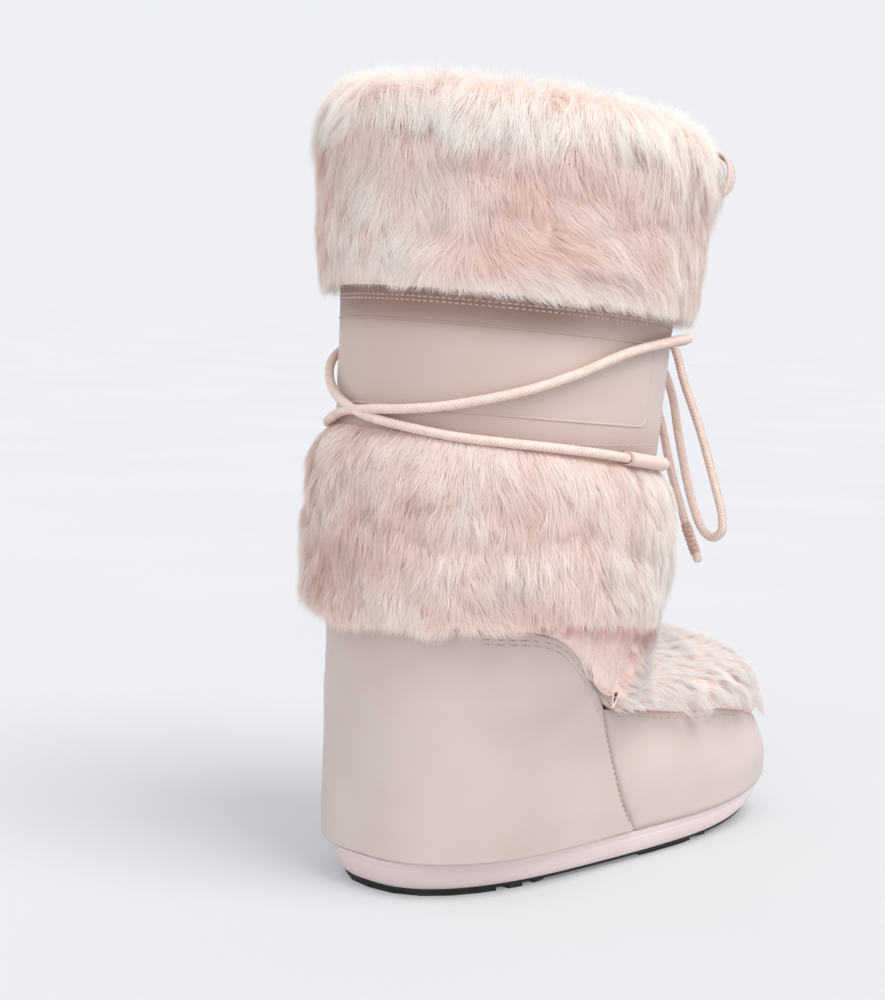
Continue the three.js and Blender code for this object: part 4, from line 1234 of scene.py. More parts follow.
G_COLS = 170
u = np.arange(G_COLS) / G_COLS
fine = np.arange(50, 219, 1.0)
P_f = np.array([dense.at(u, np.full(G_COLS, level))[0] for level in fine])
gap = P_f[..., 2] - fur_low(P_f[..., 0])
low_level = np.empty(G_COLS)
for j in range(G_COLS):
    above = np.where(gap[:, j] < 0)[0]
    low_level[j] = fine[above[-1]] + 1.0 if len(above) else fine[0]
soft = np.minimum(np.minimum(low_level, np.roll(low_level, 1)), np.roll(low_level, -1))
low_level = (np.roll(soft, 1) + 2 * soft + np.roll(soft, -1)) / 4
top_level = band_top(P_f[-1]) - 1.5
outer, nn = [], []
for drop, depth in ((9.0, -2.9), (4.0, -2.9), (0.5, -2.6), (-1.2, 0.0)):
    level = low_level - drop
    p, n = dense.at(u, level, np.full(G_COLS, depth))
    outer.append(p)
    nn.append(n)
for q in np.linspace(0, 1, 52)[1:]:
    level = low_level + 1.2 + (top_level - low_level - 1.2) * q
    p, n = dense.at(u, level)
    d = pile_of(p, level) * pile_height(p) * 0.67 * np.clip(q / 0.04, 0.2, 1) * np.clip((1 - q) / 0.02, 0.1, 1)
    outer.append(p + n * (d + 0.4 * noise_b(p, 9.0) * np.clip(d / 3, 0, 1))[:, None])
    nn.append(n)
outer, nn = np.array(outer), np.array(nn)
verts, faces = slab(outer, outer - nn * 1.6, True)
if not outward(verts, faces, 0, 0, nn):
    faces = turned(faces)
ground_low = add_mesh("fur_ground_ankle", verts, faces, mat_ground)
piece(ground_low, ["upper"])

# cuff: up the outside, over the collar and a little way down the inside
RIM_LEVEL, RIM_DEPTH, RIM_R = 368.0, -2.75, 4.25


def rim_point(u, a):
    """a point of the collar's edge at an angle from the outside (0) over the top (90) to the inside (180)"""
    p, n = dense.at(u, np.full(np.shape(u), RIM_LEVEL))
    v = dense.take(dense.dl, u, np.full(np.shape(u), RIM_LEVEL))
    v = v / np.linalg.norm(v, axis=-1, keepdims=True)
    ca, sa = np.cos(np.radians(a))[..., None], np.sin(np.radians(a))[..., None]
    out = ca * n + sa * v
    return p + n * RIM_DEPTH + out * RIM_R, out, n, v


outer, nn = [], []
for level in np.concatenate([np.linspace(283.5, 292, 8, endpoint=False), np.linspace(292, 366, 22)]):
    L = np.full(G_COLS, level)
    p, n = dense.at(u, L)
    d = 0.2 + fur_depth(L) * pile_height(p) * 0.67 * np.clip((level - 284) / 7, 0, 1) * np.clip((372 - level) / 14, 0, 1)
    outer.append(p + n * (d + 0.4 * noise_b(p, 9.0) * np.clip(d / 4, 0, 1))[:, None])
    nn.append(n)
for a in (10, 30, 50, 70, 90, 110, 130, 150, 170, 180):
    p, out, n, v = rim_point(u, np.full(G_COLS, float(a)))
    outer.append(p + out * 0.8)
    nn.append(out)
p, out, n, v = rim_point(u, np.full(G_COLS, 180.0))
for drop in (6, 14, 20):
    outer.append(p - v * drop - n * 0.8)
    nn.append(-n)
outer, nn = np.array(outer), np.array(nn)
verts, faces = slab(outer, outer - nn * 1.6, True)
if not outward(verts, faces, 0, 0, nn):
    faces = turned(faces)
ground_cuff = add_mesh("fur_ground_cuff", verts, faces, mat_ground)
piece(ground_cuff, ["upper"])


# ---------------------------------------------------------------- fur
TIP = np.array(lin(255, 251, 247))
TIP_PINK = np.array(lin(251, 229, 221))
ROOT = np.array(lin(249, 228, 220))
RIM_TIP = np.array(lin(255, 254, 251))


def pick(weights, count, rng):
    """cells of a grid picked in proportion to weights, as (row, column)"""
    w = weights.ravel() / weights.sum()
    edges = np.cumsum(w)
    # evenly spread picks, so that no patch is bare
    q = (np.arange(count) + rng.random(count)) / count
    i = np.searchsorted(edges, q).clip(0, len(w) - 1)
    return np.divmod(i, weights.shape[1])


STEPS = (0.0, 0.46, 1.0)


def strands_mesh(name, pts, width, colour_root, colour_tip, normal, rng):
    """ribbons through pts (n, 3, 3): a quad and a pointed end each"""
    n = len(pts)
    T = np.empty_like(pts)
    T[:, 0] = pts[:, 1] - pts[:, 0]
    T[:, 1] = pts[:, 2] - pts[:, 0]
    T[:, 2] = pts[:, 2] - pts[:, 1]
    T /= np.linalg.norm(T, axis=2, keepdims=True) + 1e-9
    W = np.cross(np.broadcast_to(normal[:, None], T.shape), T)
    W /= np.linalg.norm(W, axis=2, keepdims=True) + 1e-9
    roll = (rng.random(n) - 0.5) * 0.5
    B = np.cross(T, W)
    W = W * np.cos(roll)[:, None, None] + B * np.sin(roll)[:, None, None]
    half = width[:, None] * np.array([0.85, 1.0])[None] / 2
    left = pts[:, :2] - W[:, :2] * half[..., None]
    right = pts[:, :2] + W[:, :2] * half[..., None]
    V = np.concatenate([left, right, pts[:, 2:3]], 1)  # 5 points each
    base = (np.arange(n) * 5)[:, None]
    q = base + [0, 1, 3, 2]
    t = base + [1, 4, 3]
    o = add_mesh(name, V.reshape(-1, 3), [q, t], mat_fur)
    grade = np.array([0.0, 0.62, 0.0, 0.62, 1.0])
    col = colour_root[:, None] * (1 - grade[None, :, None]) + colour_tip[:, None] * grade[None, :, None]
    point_colour(o, col.reshape(-1, 3))
    return o


def band_fur(name, weight, clumps, per_clump, rng, length, lift, low_of, width=0.32, spread=(10, 0.1), gather_by=0.14, lean=0.0, pale_by=0.0,
             shade=(1, 1, 1), ragged=1.0, shade_hem=False):
    """tufts over the cells of the dense grid, with weight a share for each cell"""
    i, j = pick(weight, clumps, rng)
    cu = (j + rng.random(clumps)) / dense.P.shape[1]
    cl = dense.levels[i] + rng.random(clumps) * dense.step
    cp, cn = dense.at(cu, cl)
    cang = np.radians(lie_angle(cp) + lean + rng.normal(0, spread[0], clumps))
    clen = length * (1 + rng.normal(0, 0.16, clumps))
    clift = lift * (1 + rng.normal(0, spread[1], clumps).clip(-0.3, 0.3))
    n = clumps * per_clump
    k = np.repeat(np.arange(clumps), per_clump)
    # place in the tuft, in three finer locks
    lock = rng.integers(0, 3, n)
    lock_off = rng.normal(0, 2.2, (clumps, 3, 2))
    off = lock_off[k, lock] + rng.normal(0, 1.2, (n, 2))
    mu = np.linalg.norm(dense.take(dense.du, cu, cl), axis=1)[k]
    ml = np.linalg.norm(dense.take(dense.dl, cu, cl), axis=1)[k]
    u0 = cu[k] + off[:, 0] / mu
    l0 = cl[k] + off[:, 1] / ml
    ang = cang[k] + np.radians(rng.normal(0, 5, n)) + np.radians(rng.normal(0, 6, (clumps, 3)))[k, lock]
    L = clen[k] * (1 + rng.normal(0, 0.1, n))
    pos0, nor0 = dense.at(u0, l0)
    start = pile_of(pos0, l0)
    share = pile_height(pos0) * clift[k] * (1 + rng.normal(0, 0.04, n))
    share = share * (1 + 0.3 * ramp01(l0, 340, 362))  # fuller towards the collar
    L = L * np.clip(0.45 + start / 20, 0.5, 1.1)
    pts = []
    u, l = u0.copy(), l0.copy()
    last = 0.0
    tight = gather_by
    for t in STEPS:
        reach = L * (0.30 * t + 0.70 * t ** 1.5)
        step = reach - last
        last = reach
        m_u = np.linalg.norm(dense.take(dense.du, u, l), axis=1)
        m_l = np.linalg.norm(dense.take(dense.dl, u, l), axis=1)
        u = u - np.sin(ang) * step / m_u
        l = l - np.cos(ang) * step / m_l
        # locks draw together towards their tips
        gather = tight * t ** 1.4
        uu_ = u - (off - lock_off[k, lock])[:, 0] * gather / m_u - lock_off[k, lock][:, 0] * gather * 0.35 / m_u
        ll_ = l - (off - lock_off[k, lock])[:, 1] * gather / m_l - lock_off[k, lock][:, 1] * gather * 0.35 / m_l
        here = pile_of(dense.take(dense.P, uu_, ll_), ll_)
        D = np.maximum(np.maximum(start * (1 - 0.15 * t), here), 1.6) * share
        h = D * (0.62 + 0.38 * (1 - (1 - t) ** 2.1))
        p, nrm = dense.at(uu_, ll_, h)
        pts.append(p)
    pts = np.stack(pts, 1)
    # the lower edge is trimmed
    if low_of is not None:
        edge = low_of(pts[:, 2]) + ragged * (rng.normal(0, 1.1, n) + 1.5 * noise_c(pts[:, 2], 7.0) + 2.2 * noise_b(pts[:, 2], 20.0))
        over = pts[:, 0, 2] - pts[:, 2, 2]
        room = pts[:, 0, 2] - edge
        f = np.clip(room / np.maximum(over, 1e-3), 0.0, 1.0)
        f = np.where(pts[:, 2, 2] < edge, f, 1.0)
        ts = np.array(STEPS)
        new = np.empty_like(pts)
        for q in range(3):
            want = f * ts[q]
            a = np.clip(np.searchsorted(ts, want, side="right") - 1, 0, 1)
            w = ((want - ts[a]) / (ts[a + 1] - ts[a]))[:, None]
            ar = np.arange(n)
            new[:, q] = pts[ar, a] * (1 - w) + pts[ar, a + 1] * w
        pts = new
        keep = (f > 0.25) & (room > 1.0) & ((l0 > 240) | (l0 < band_top(pos0) - 0.6))
    else:
        keep = np.ones(n, bool)
    # tip colour: random mottling between cream and pink, plus painted highlight and shade: paler tips on tufts that
    # stand higher, pinker and darker ones in the pile's hollows
    tone = np.clip(0.5 + 0.5 * noise_d(pos0, 21.0) + 0.3 * noise_b(pos0, 8.0) + 0.8 * (np.repeat(clift, per_clump) / lift - 1)
                   + np.repeat(rng.normal(0, 0.05, clumps), per_clump) + rng.normal(0, 0.05, n), 0, 1)[:, None]
    low = np.clip(pile_height(pos0) - 0.35, 0, 0.65)[:, None] / 0.65
    tone = tone * (0.25 + 0.75 * low)
    tip = TIP * tone + TIP_PINK * (1 - tone)
    tip = tip * (0.9 + 0.1 * low)
    pale = ramp01(l0 + 9 * noise_a(pos0, 14.0), 346, 364)[:, None] * 0.9
    # paler along the cuff's lower edge and round its back
    pale = np.maximum(pale, 0.75 * ramp01(-l0, -306, -288)[:, None] * (l0[:, None] > 240))
    pale = np.maximum(pale, 0.7 * ramp01(-pos0[:, 0], 55, 90)[:, None] * (l0[:, None] > 240))
    pale = np.maximum(pale, 0.7 * ramp01(pos0[:, 0], -30, 50)[:, None] * (l0[:, None] < 230))
    pale = np.maximum(pale, 0.45 * ramp01(pos0[:, 0], -30, 40)[:, None] * (l0[:, None] > 240))
    pale = np.maximum(pale, pale_by)
    tip = tip * (1 - pale) + RIM_TIP * pale
    root = ROOT * (0.93 + 0.1 * tone)
    root = root * (1 - pale * 0.6) + TIP * pale * 0.6
    # painted shade: darker, pinker tips in the crease beside the gusset
    near = np.exp(-((pos0[:, 0] - crease_x(pos0[:, 2])) / 5.0) ** 2) * (pos0[:, 2] < band_low(pos0[:, 0]) + 2) * (np.abs(pos0[:, 1]) > 30)
    tip = tip * (1 - 0.5 * near[:, None]) + ROOT * np.array([0.97, 0.86, 0.83]) * 0.5 * near[:, None]
    # shade under the ankle band's lower edge
    hem = np.exp(-np.clip(band_low(pos0[:, 0]) - 0.5 - pos0[:, 2], 0, 99) / 3.2) * (pos0[:, 2] < band_low(pos0[:, 0]) + 1.0) * (np.abs(pos0[:, 1]) > 30)
    hem = (0.75 * hem)[:, None] if shade_hem else 0.0
    tip = tip * (1 - hem) + ROOT * np.array([0.86, 0.64, 0.58]) * hem
    root = root * (1 - hem) + ROOT * np.array([0.8, 0.55, 0.48]) * hem
    if pale_by > 0.6:
        root = root * 0.4 + tip * 0.6
    tip, root = tip * shade, root * shade
    w = width * (0.7 + 0.6 * rng.random(n))
    return strands_mesh(name, pts[keep], w[keep], root[keep], np.clip(tip[keep], 0, 1), nor0[keep], rng)


area = np.linalg.norm(np.cross(dense.du / dense.P.shape[1], dense.dl * dense.step), axis=2)
xs, ys, zs = dense.P[..., 0], dense.P[..., 1], dense.P[..., 2]
lev = dense.levels[:, None] + 0 * xs
ub = np.arange(dense.P.shape[1]) / dense.P.shape[1] + 0 * lev
cuff = (lev > 284.5) & (lev < 372)
tops = band_top(dense.P)
ankle = (lev < tops - 1.0) & (zs > band_low(xs) + 3.5)
ankle_weight = area * ankle * (1 + 1.6 * (lev > tops - 7))
under = (zs < band_low(xs) + 6) & (zs > fur_low(xs) + 1.2)
corner = np.exp(-(((xs - 15.8) / 3.2) ** 2 + ((zs - 93.0) / 7.0) ** 2)) > 0.37
gusset = under & (xs < crease_x(zs)) & (xs > -46) & ~corner
vamp = under & (xs >= crease_x(zs))
vamp |= (zs <= 110) & (xs >= 40) & (zs > fur_low(xs) + 1.5) & (zs < band_low(xs) + 8)
vamp &= ~corner
SHARE = 1.0


def cuff_low(p):
    """height of the cuff's lower hair edge round the leg"""
    s = turn(bearing_of(p), 180.0)
    return 279.0 - 0.085 * p[..., 0] + np.interp(s, [-66, -48, -36, -26, -16, 0, 17, 27, 37, 49, 66],
                                                 [0, -1.8, -2.4, 0.4, 2.6, 2.5, 1.9, 1.5, 2.2, 1.4, 0])


def ankle_low(p):
    return band_low(p[..., 0])


def vamp_low(p):
    """the fur over the foot ends at the shell's edge, but for one long tuft on each side"""
    x = p[..., 0]
    return fur_low(x) + 0.9 - 9.0 * np.exp(-((x - 95.0) / 9.0) ** 2) - 1.5 * ramp01(x, 150, 185)


def gusset_low(p):
    return fur_low(p[..., 0]) + 0.4


seed = 100
for part, sel in (("a", ub < 0.5), ("b", ub >= 0.5)):
    seed += 1
    rng = np.random.default_rng(seed)
    o = band_fur("fur_cuff_" + part, area * (cuff & sel), int(2150 * SHARE), 24, rng, 14.5, 1.0, cuff_low, 0.23, (7, 0.045), 0.07, 0.0, 0.0, (0.99, 1.0, 1.0))
    piece(o, ["upper"])
for part, sel in (("a", ub < 0.5), ("b", ub >= 0.5)):
    seed += 1
    rng = np.random.default_rng(seed)
    o = band_fur("fur_ankle_" + part, ankle_weight * sel, int(1950 * SHARE), 24, rng, 14.0, 1.0, ankle_low, 0.23, (7, 0.045), 0.06, 0.0, 0.15, (0.975, 0.998, 1.0))
    piece(o, ["upper"])
rng = np.random.default_rng(150)
o = band_fur("fur_gusset", area * gusset, int(330 * SHARE), 24, rng, 5.5, 1.0, gusset_low, 0.2, (5, 0.05), 0.06, 0.0, 0.5,
             (1, 1, 1), 0.3, True)
piece(o, ["upper"])
# painted shade: the vamp's fur colours are multiplied down by the shade argument, darkening the upward-facing fur over
# the foot
rng = np.random.default_rng(151)
o = band_fur("fur_vamp", area * vamp, int(1230 * SHARE), 26, rng, 10.0, 1.0, vamp_low, 0.22, (9, 0.04), 0.03, 0.0, 0.7,
             (0.883, 0.903, 0.917), 0.45, True)
piece(o, ["upper"])

# the collar's edge
rng = np.random.default_rng(160)
clumps, per = int(1000 * SHARE), 25
cu = (np.arange(clumps) + rng.random(clumps)) / clumps
ca = rng.random(clumps) * 175 - 12
n = clumps * per
k = np.repeat(np.arange(clumps), per)
off = rng.normal(0, 2.4, (n, 2))
perimeter = 545.0
uu = cu[k] + off[:, 0] / perimeter
aa = ca[k] + np.degrees(off[:, 1] / RIM_R) * 0.6
base, out, nrm, up = rim_point(uu, aa)
side = np.cross(out, np.cross(nrm, up))
around = np.cross(nrm, up)
L = (11.2 - 5.5 * np.clip((aa - 110) / 60, 0, 1)) * (1 + rng.normal(0, 0.09, n)) * np.repeat(1 + rng.normal(0, 0.1, clumps), per)
leanr = np.repeat(rng.normal(0, 0.42, clumps), per) + rng.normal(0, 0.16, n) + 0.3 * noise_a(base, 24.0)
leanv = np.repeat(rng.normal(0, 0.2, clumps), per) + rng.normal(0, 0.12, n)
pts = []
for t in STEPS:
    bend = t * t
    p = base + out * (L * (t - 0.12 * bend))[:, None] + around * (leanr * L * bend)[:, None]
    p = p + (np.cross(around, out)) * (leanv * L * bend)[:, None]
    p = p - up * (0.22 * L * bend * np.cos(np.radians(np.clip(aa, 0, 90))))[:, None]
    p = p - around * (off[:, 0] * 0.4 * t)[:, None]
    pts.append(p)
pts = np.stack(pts, 1)
tone = np.clip(0.55 + 0.35 * noise_d(base, 20.0) + rng.normal(0, 0.15, n), 0, 1)[:, None]
pale = np.clip((aa[:, None] - 0) / 50, 0, 1)
tip = (RIM_TIP * tone + TIP * (1 - tone)) * pale + (TIP * tone + TIP_PINK * (1 - tone)) * (1 - pale)
root = (ROOT * 0.3 + TIP * 0.7) * np.ones((n, 1))
o = strands_mesh("fur_collar", pts, 0.24 * (0.7 + 0.6 * rng.random(n)), root, tip, out, rng)
piece(o, ["upper"])

# ---------------------------------------------------------------- stitches and embossed lines
def on_form(x, z, side):
    """u and level of the bare form's point at x and z on a side (-1 right, 1 left)"""
    half = dense.P.shape[1] // 2
    cols_ = slice(half, 2 * half) if side < 0 else slice(0, half)
    px, pz = dense.P[:, cols_, 0], dense.P[:, cols_, 2]
    us, ls = [], []
    for a_, b_ in zip(np.atleast_1d(x), np.atleast_1d(z)):
        d = (px - a_) ** 2 + (pz - b_) ** 2
        i_, j_ = np.unravel_index(d.argmin(), d.shape)
        us.append((j_ + cols_.start) / dense.P.shape[1])
        ls.append(dense.levels[i_])
    us, ls = np.array(us), np.array(ls)
    for _ in range(3):  # closer, by the grid's slopes
        p = dense.take(dense.P, us, ls)
        gu, gl = dense.take(dense.du, us, ls), dense.take(dense.dl, us, ls)
        ex, ez = x - p[:, 0], z - p[:, 2]
        det = gu[:, 0] * gl[:, 2] - gl[:, 0] * gu[:, 2]
        det = np.where(np.abs(det) < 1e-6, 1e-6, det)
        us = us + np.clip((ex * gl[:, 2] - ez * gl[:, 0]) / det, -0.01, 0.01)
        ls = ls + np.clip((gu[:, 0] * ez - gu[:, 2] * ex) / det, -2, 2)
    return us, ls


def even(P, pitch):
    s_ = np.concatenate([[0], np.cumsum(np.linalg.norm(np.diff(P, axis=0), axis=1))])
    n = max(int(s_[-1] / pitch), 1)
    g = (np.arange(n) + 0.5) * s_[-1] / n
    return g, s_, s_[-1] / n


def stitches(P, N, pitch, length, radius, out, sides=4):
    """one run of thread stitches along P: small rounded bars, a gap apart"""
    g, s_, step = even(P, pitch)
    get = lambda A, t: np.stack([np.interp(t, s_, A[:, q]) for q in range(3)], -1)
    c, n = get(P, g), get(N, g)
    t = get(P, g + 0.4) - get(P, g - 0.4)
    t /= np.linalg.norm(t, axis=1, keepdims=True)
    n = n - t * (n * t).sum(1, keepdims=True)
    n /= np.linalg.norm(n, axis=1, keepdims=True)
    w = np.cross(t, n)
    half = length / 2
    rows = [(-half, 0.4), (-half * 0.6, 0.95), (half * 0.6, 0.95), (half, 0.4)]
    th = np.arange(sides) / sides * 2 * math.pi
    V = []
    for a_, k_ in rows:
        sink = -radius * 1.1 * (abs(a_) / half) ** 4
        base = c + t * a_ + n * (out + sink)
        V.append(base[:, None] + radius * k_ * (np.cos(th)[None, :, None] * w[:, None] + np.sin(th)[None, :, None] * n[:, None]))
    V = np.stack(V, 1)
    m_ = len(c)
    R = len(rows)
    base = (np.arange(m_) * R * sides)[:, None, None]
    i = np.arange(R - 1)[None, :, None] * sides
    j = np.arange(sides)[None, None]
    kx = (j + 1) % sides
    q = np.stack([base + i + j, base + i + kx, base + i + sides + kx, base + i + sides + j], -1).reshape(-1, 4)
    caps = np.concatenate([(base[:, 0] + np.arange(sides)[::-1][None]), (base[:, 0] + (R - 1) * sides + np.arange(sides)[None])])
    verts = V.reshape(-1, 3)
    nrm = np.cross(verts[q[:, 1]] - verts[q[:, 0]], verts[q[:, 2]] - verts[q[:, 1]])
    centre = np.repeat(c, (R - 1) * sides, 0)
    if ((verts[q].mean(1) - centre) * nrm).sum() < 0:
        q, caps = q[:, ::-1], caps[:, ::-1]
    return verts, [q, caps]


def ridge(P, N, width, height, out):
    """a low rounded bead along P"""
    t = np.gradient(P, axis=0)
    t /= np.linalg.norm(t, axis=1, keepdims=True)
    w = np.cross(t, N)
    prof = [(-0.5, -0.25), (-0.36, 0.35), (-0.16, 0.9), (0.16, 0.9), (0.36, 0.35), (0.5, -0.25)]
    G = np.stack([P + w * (a_ * width) + N * (out + b_ * height)[:, None] if np.ndim(out) else P + w * (a_ * width) + N * (out + b_ * height)
                  for a_, b_ in prof], 1)
    return G


def merged(name, parts, material):
    V, F, start = [], [], 0
    for verts, faces in parts:
        V.append(verts)
        F += [np.asarray(f) + start for f in faces]
        start += len(verts)
    return add_mesh(name, np.concatenate(V), F, material)


def panel_path(u, level):
    p, n = dense.at(u, level)
    return p + n * (panel_push(p) - 0.6)[:, None], n


thread, holes_and_seam_shade = [], []
uu = np.linspace(0, 1, 721)
for level in (279.3, 277.4):
    p, n = panel_path(uu, np.full(len(uu), level))
    thread.append(stitches(p, n, 3.1, 2.3, 0.42, 0.16))
for level in (279.3, 277.4):
    p, n = panel_path(uu, np.full(len(uu), level))
    holes_and_seam_shade.append(stitches(p, n, 6.2, 5.6, 0.3, -0.12))
# painted shade: a dark line of bars over the stitches, for the shadow along the panel's top seam under the fur
p, n = panel_path(uu, np.full(len(uu), 281.6))
holes_and_seam_shade.append(stitches(p, n, 3.0, 3.2, 0.42, 0.0))
# short run over the lower turn of the lace, both sides
for side in (-1, 1):
    xx = np.linspace(-34, 40, 60)
    us, ls = on_form(xx, np.interp(xx, [-34, 5, 40], [219.6, 218.4, 217.0]), side)
    p, n = panel_path(us, ls)
    thread.append(stitches(p, n, 2.9, 2.0, 0.3, 0.12))


def shell_path(x, z, side, depth=0.0):
    us, ls = on_form(np.asarray(x, float), np.asarray(z, float), side)
    p, n = dense.at(us, ls)
    return p + n * (shell_push(p) + depth)[:, None], n


def offset_line(x, z, d):
    """a line beside x, z, at a distance d to its lower left"""
    dx, dz = np.gradient(x), np.gradient(z)
    l_ = np.hypot(dx, dz)
    return x + dz / l_ * d, z - dx / l_ * d


for side in (-1, 1):
    hz = 130.98 - (130.98 - 88.5) * np.linspace(0, 1, 110) ** 2
    hx = monotone(HEEL_TOPLINE[::-1, 1][:-1], HEEL_TOPLINE[::-1, 0][:-1], hz)
    for d in (3.0, 5.3):
        x2, z2 = offset_line(hx, hz, d)
        keep = z2 > 84
        p, n = shell_path(x2[keep], z2[keep], side)
        thread.append(stitches(p, n, 3.0, 2.1, 0.3, 0.1))
        holes_and_seam_shade.append(stitches(p, n, 6.0, 5.4, 0.32, -0.1))
    # beside the side seam
    sx = monotone(SIDE_SEAM[::-1, 1], SIDE_SEAM[::-1, 0], np.linspace(82, 24, 50))
    sz = np.linspace(82, 24, 50)
    p, n = shell_path(sx - 2.0, sz, side)
    holes_and_seam_shade.append(stitches(p, n, 3.1, 1.5, 0.28, 0.02))
    # under the toe shell's top edge
    tx = np.linspace(24, 150, 110)
    tz = monotone(TOE_TOPLINE[:, 0], TOE_TOPLINE[:, 1], tx)
    for d in (3.2,):
        p, n = shell_path(tx, tz - d, side)
        thread.append(stitches(p, n, 3.0, 2.1, 0.28, 0.08))
        holes_and_seam_shade.append(stitches(p, n, 6.0, 5.4, 0.3, -0.1))
o = merged("stitches", thread, mat_thread)
piece(o)
o = merged("stitch_holes_and_seam_shade", holes_and_seam_shade, mat_holes_and_seam_shade)
piece(o)

# painted shade: a small dark sheet stands in for the shade in the fold where gusset, fur and toe shell meet
V_, F_, piping = [], [], []
for side in (-1, 1):
    fx_ = np.array([13.4, 15.8, 18.4, 17.6, 16.5, 16.0, 15.3, 14.3])
    fz_ = np.array([97.6, 97.0, 97.2, 93.6, 90.4, 89.0, 91.2, 94.4])
    us, ls = on_form(fx_, fz_, side)
    p, n = dense.at(us, ls)
    rim_ = p + n * np.array([4.4, 4.6, 4.9, 4.9, 4.6, 4.4, 4.3, 4.3])[:, None]
    b0, m_ = len(V_), len(fx_)
    V_ += list(rim_) + [rim_.mean(0) - n.mean(0) * 1.3]
    F_ += [[b0 + a1, b0 + (a1 + 1) % m_, b0 + m_] for a1 in range(m_)]
    # its two piped edges, meeting below
    for run in ([0, 7, 6, 5], [2, 3, 4, 5]):
        piping.append(raw_tube(catmull(rim_[run] + n[run] * 0.15, 0.8), 0.55, 8, (0, 0, 1)))
fold = add_mesh("corner_fold_shade", np.array(V_), [np.array(F_)], mat_fold_shade_sheet)
piece(fold)
fold_piping = joined("corner_piping", piping, mat_ground)
piece(fold_piping)

# the plain frame pressed into the shaft, round the back from side to side
us_r, _ = on_form(np.array([26.0]), np.array([249.0]), -1)
us_l, _ = on_form(np.array([26.0]), np.array([249.0]), 1)
uR, uL = float(us_r[0]) - 1.0, float(us_l[0])
mm_u = float(np.linalg.norm(dense.take(dense.du, np.array([0.8]), np.array([249.0])), axis=1)[0])
top, low, r = 268.4, 228.3, 7.0
half_w = (uL - uR) * mm_u / 2
pts = []
for cx, cy, a0 in ((half_w - r, top - r, 90), (half_w - r, low + r, 0), (-half_w + r, low + r, -90), (-half_w + r, top - r, -180)):
    for q in np.linspace(0, 90, 12):
        a_ = math.radians(a0 - q)
        pts.append((cx + r * math.cos(a_), cy + r * math.sin(a_)))
pts = np.array(pts + pts[:1])
s_ = np.concatenate([[0], np.cumsum(np.hypot(*np.diff(pts, axis=0).T))])
g = np.linspace(0, s_[-1], 380)
fx, fy = np.interp(g, s_, pts[:, 0]), np.interp(g, s_, pts[:, 1])
fu = (uL + uR) / 2 + fx / mm_u
p, n = panel_path(fu, fy)
G = ridge(p, n, 1.5, 0.55, 0.0)
G = G[:-1]
V = np.swapaxes(G, 0, 1)
verts = V.reshape(-1, 3)
faces = [grid_faces(V.shape[0], V.shape[1], True)]
f0 = faces[0][0]
if np.cross(verts[f0[1]] - verts[f0[0]], verts[f0[2]] - verts[f0[1]]) @ n[0] < 0:
    faces = turned(faces)
# points 0.3 mm under the bead's two edges; nothing uses them
V2 = np.stack([V[0] - n[None, :-1][0] * 0.3, V[-1] - n[None, :-1][0] * 0.3])
frame_line = add_mesh("pressed_frame", verts, faces, mat_panel)
piece(frame_line)

# ---------------------------------------------------------------- pull loop, keepers, insole
def closed_grid(rows):
    """a closed skin through rings of points, its first and last ring capped by their middles"""
    R = np.array(rows)
    m, n = R.shape[:2]
    verts = np.concatenate([R.reshape(-1, 3), [R[0].mean(0), R[-1].mean(0)]])
    j = np.arange(n)
    kx = (j + 1) % n
    faces = [grid_faces(m, n, True), np.stack([np.full(n, m * n), kx, j], 1),
             np.stack([np.full(n, m * n + 1), (m - 1) * n + j, (m - 1) * n + kx], 1)]
    q = faces[0]
    nrm = np.cross(verts[q[:, 1]] - verts[q[:, 0]], verts[q[:, 2]] - verts[q[:, 1]])
    own = np.repeat(R.mean(1)[:-1], n, 0)
    if ((verts[q].mean(1) - own) * nrm).sum() < 0:
        faces = turned(faces)
    return verts, faces


PULL_AT, PULL_Z, PULL_RISE, PULL_REACH, PULL_WIDE, PULL_THICK = -46.0, 350.0, 9.4, 6.2, 13.0, 2.2
a_ = math.radians(PULL_AT)
e_, t_v = np.array([math.cos(a_), math.sin(a_), 0]), np.array([-math.sin(a_), math.cos(a_), 0])
feet = [leg_point(PULL_AT, PULL_Z + sgn * PULL_RISE) @ e_ for sgn in (-1, 1)]
rows, acrosses = [], []
for q in np.linspace(-0.22, 1.22, 30):
    g = -math.pi / 2 + math.pi * q
    base = feet[0] + (feet[1] - feet[0]) * q + 0.8
    mid = e_ * (base + (PULL_REACH + 0.9) * math.cos(g)) + np.array([0, 0, PULL_Z + (PULL_RISE + 0.9) * math.sin(g)])
    outdir = e_ * math.cos(g) + np.array([0, 0, math.sin(g)])
    twist = math.radians(19.0) * math.sin(math.pi * min(max(q, 0), 1))
    across = t_v * math.cos(twist) + e_ * math.sin(twist)
    acrosses.append(across)
    ring = []
    for w_, h_ in ((-0.5, -0.2), (-0.5, 0.2), (-0.45, 0.46), (-0.2, 0.5), (0.2, 0.5), (0.45, 0.46), (0.5, 0.2), (0.5, -0.2),
                   (0.45, -0.46), (0.2, -0.5), (-0.2, -0.5), (-0.45, -0.46)):
        fold = 0.5 * math.sin(5.2 * q + 0.6) * (w_ * 2)
        ring.append(mid + across * (w_ * PULL_WIDE * (1 - 0.05 * math.sin(math.pi * min(max(q, 0), 1)))) + outdir * (h_ * PULL_THICK + fold))
    rows.append(ring)
v_, f_ = closed_grid(rows)
pull = add_mesh("pull_strap", v_, f_, mat_webbing)
piece(pull, ["pull_loop"])
p_ = np.array([(r[3] + r[4]) / 2 for r in np.array(rows)])[3:-3]
edge_runs = []
acrosses = np.array(acrosses)[3:-3]
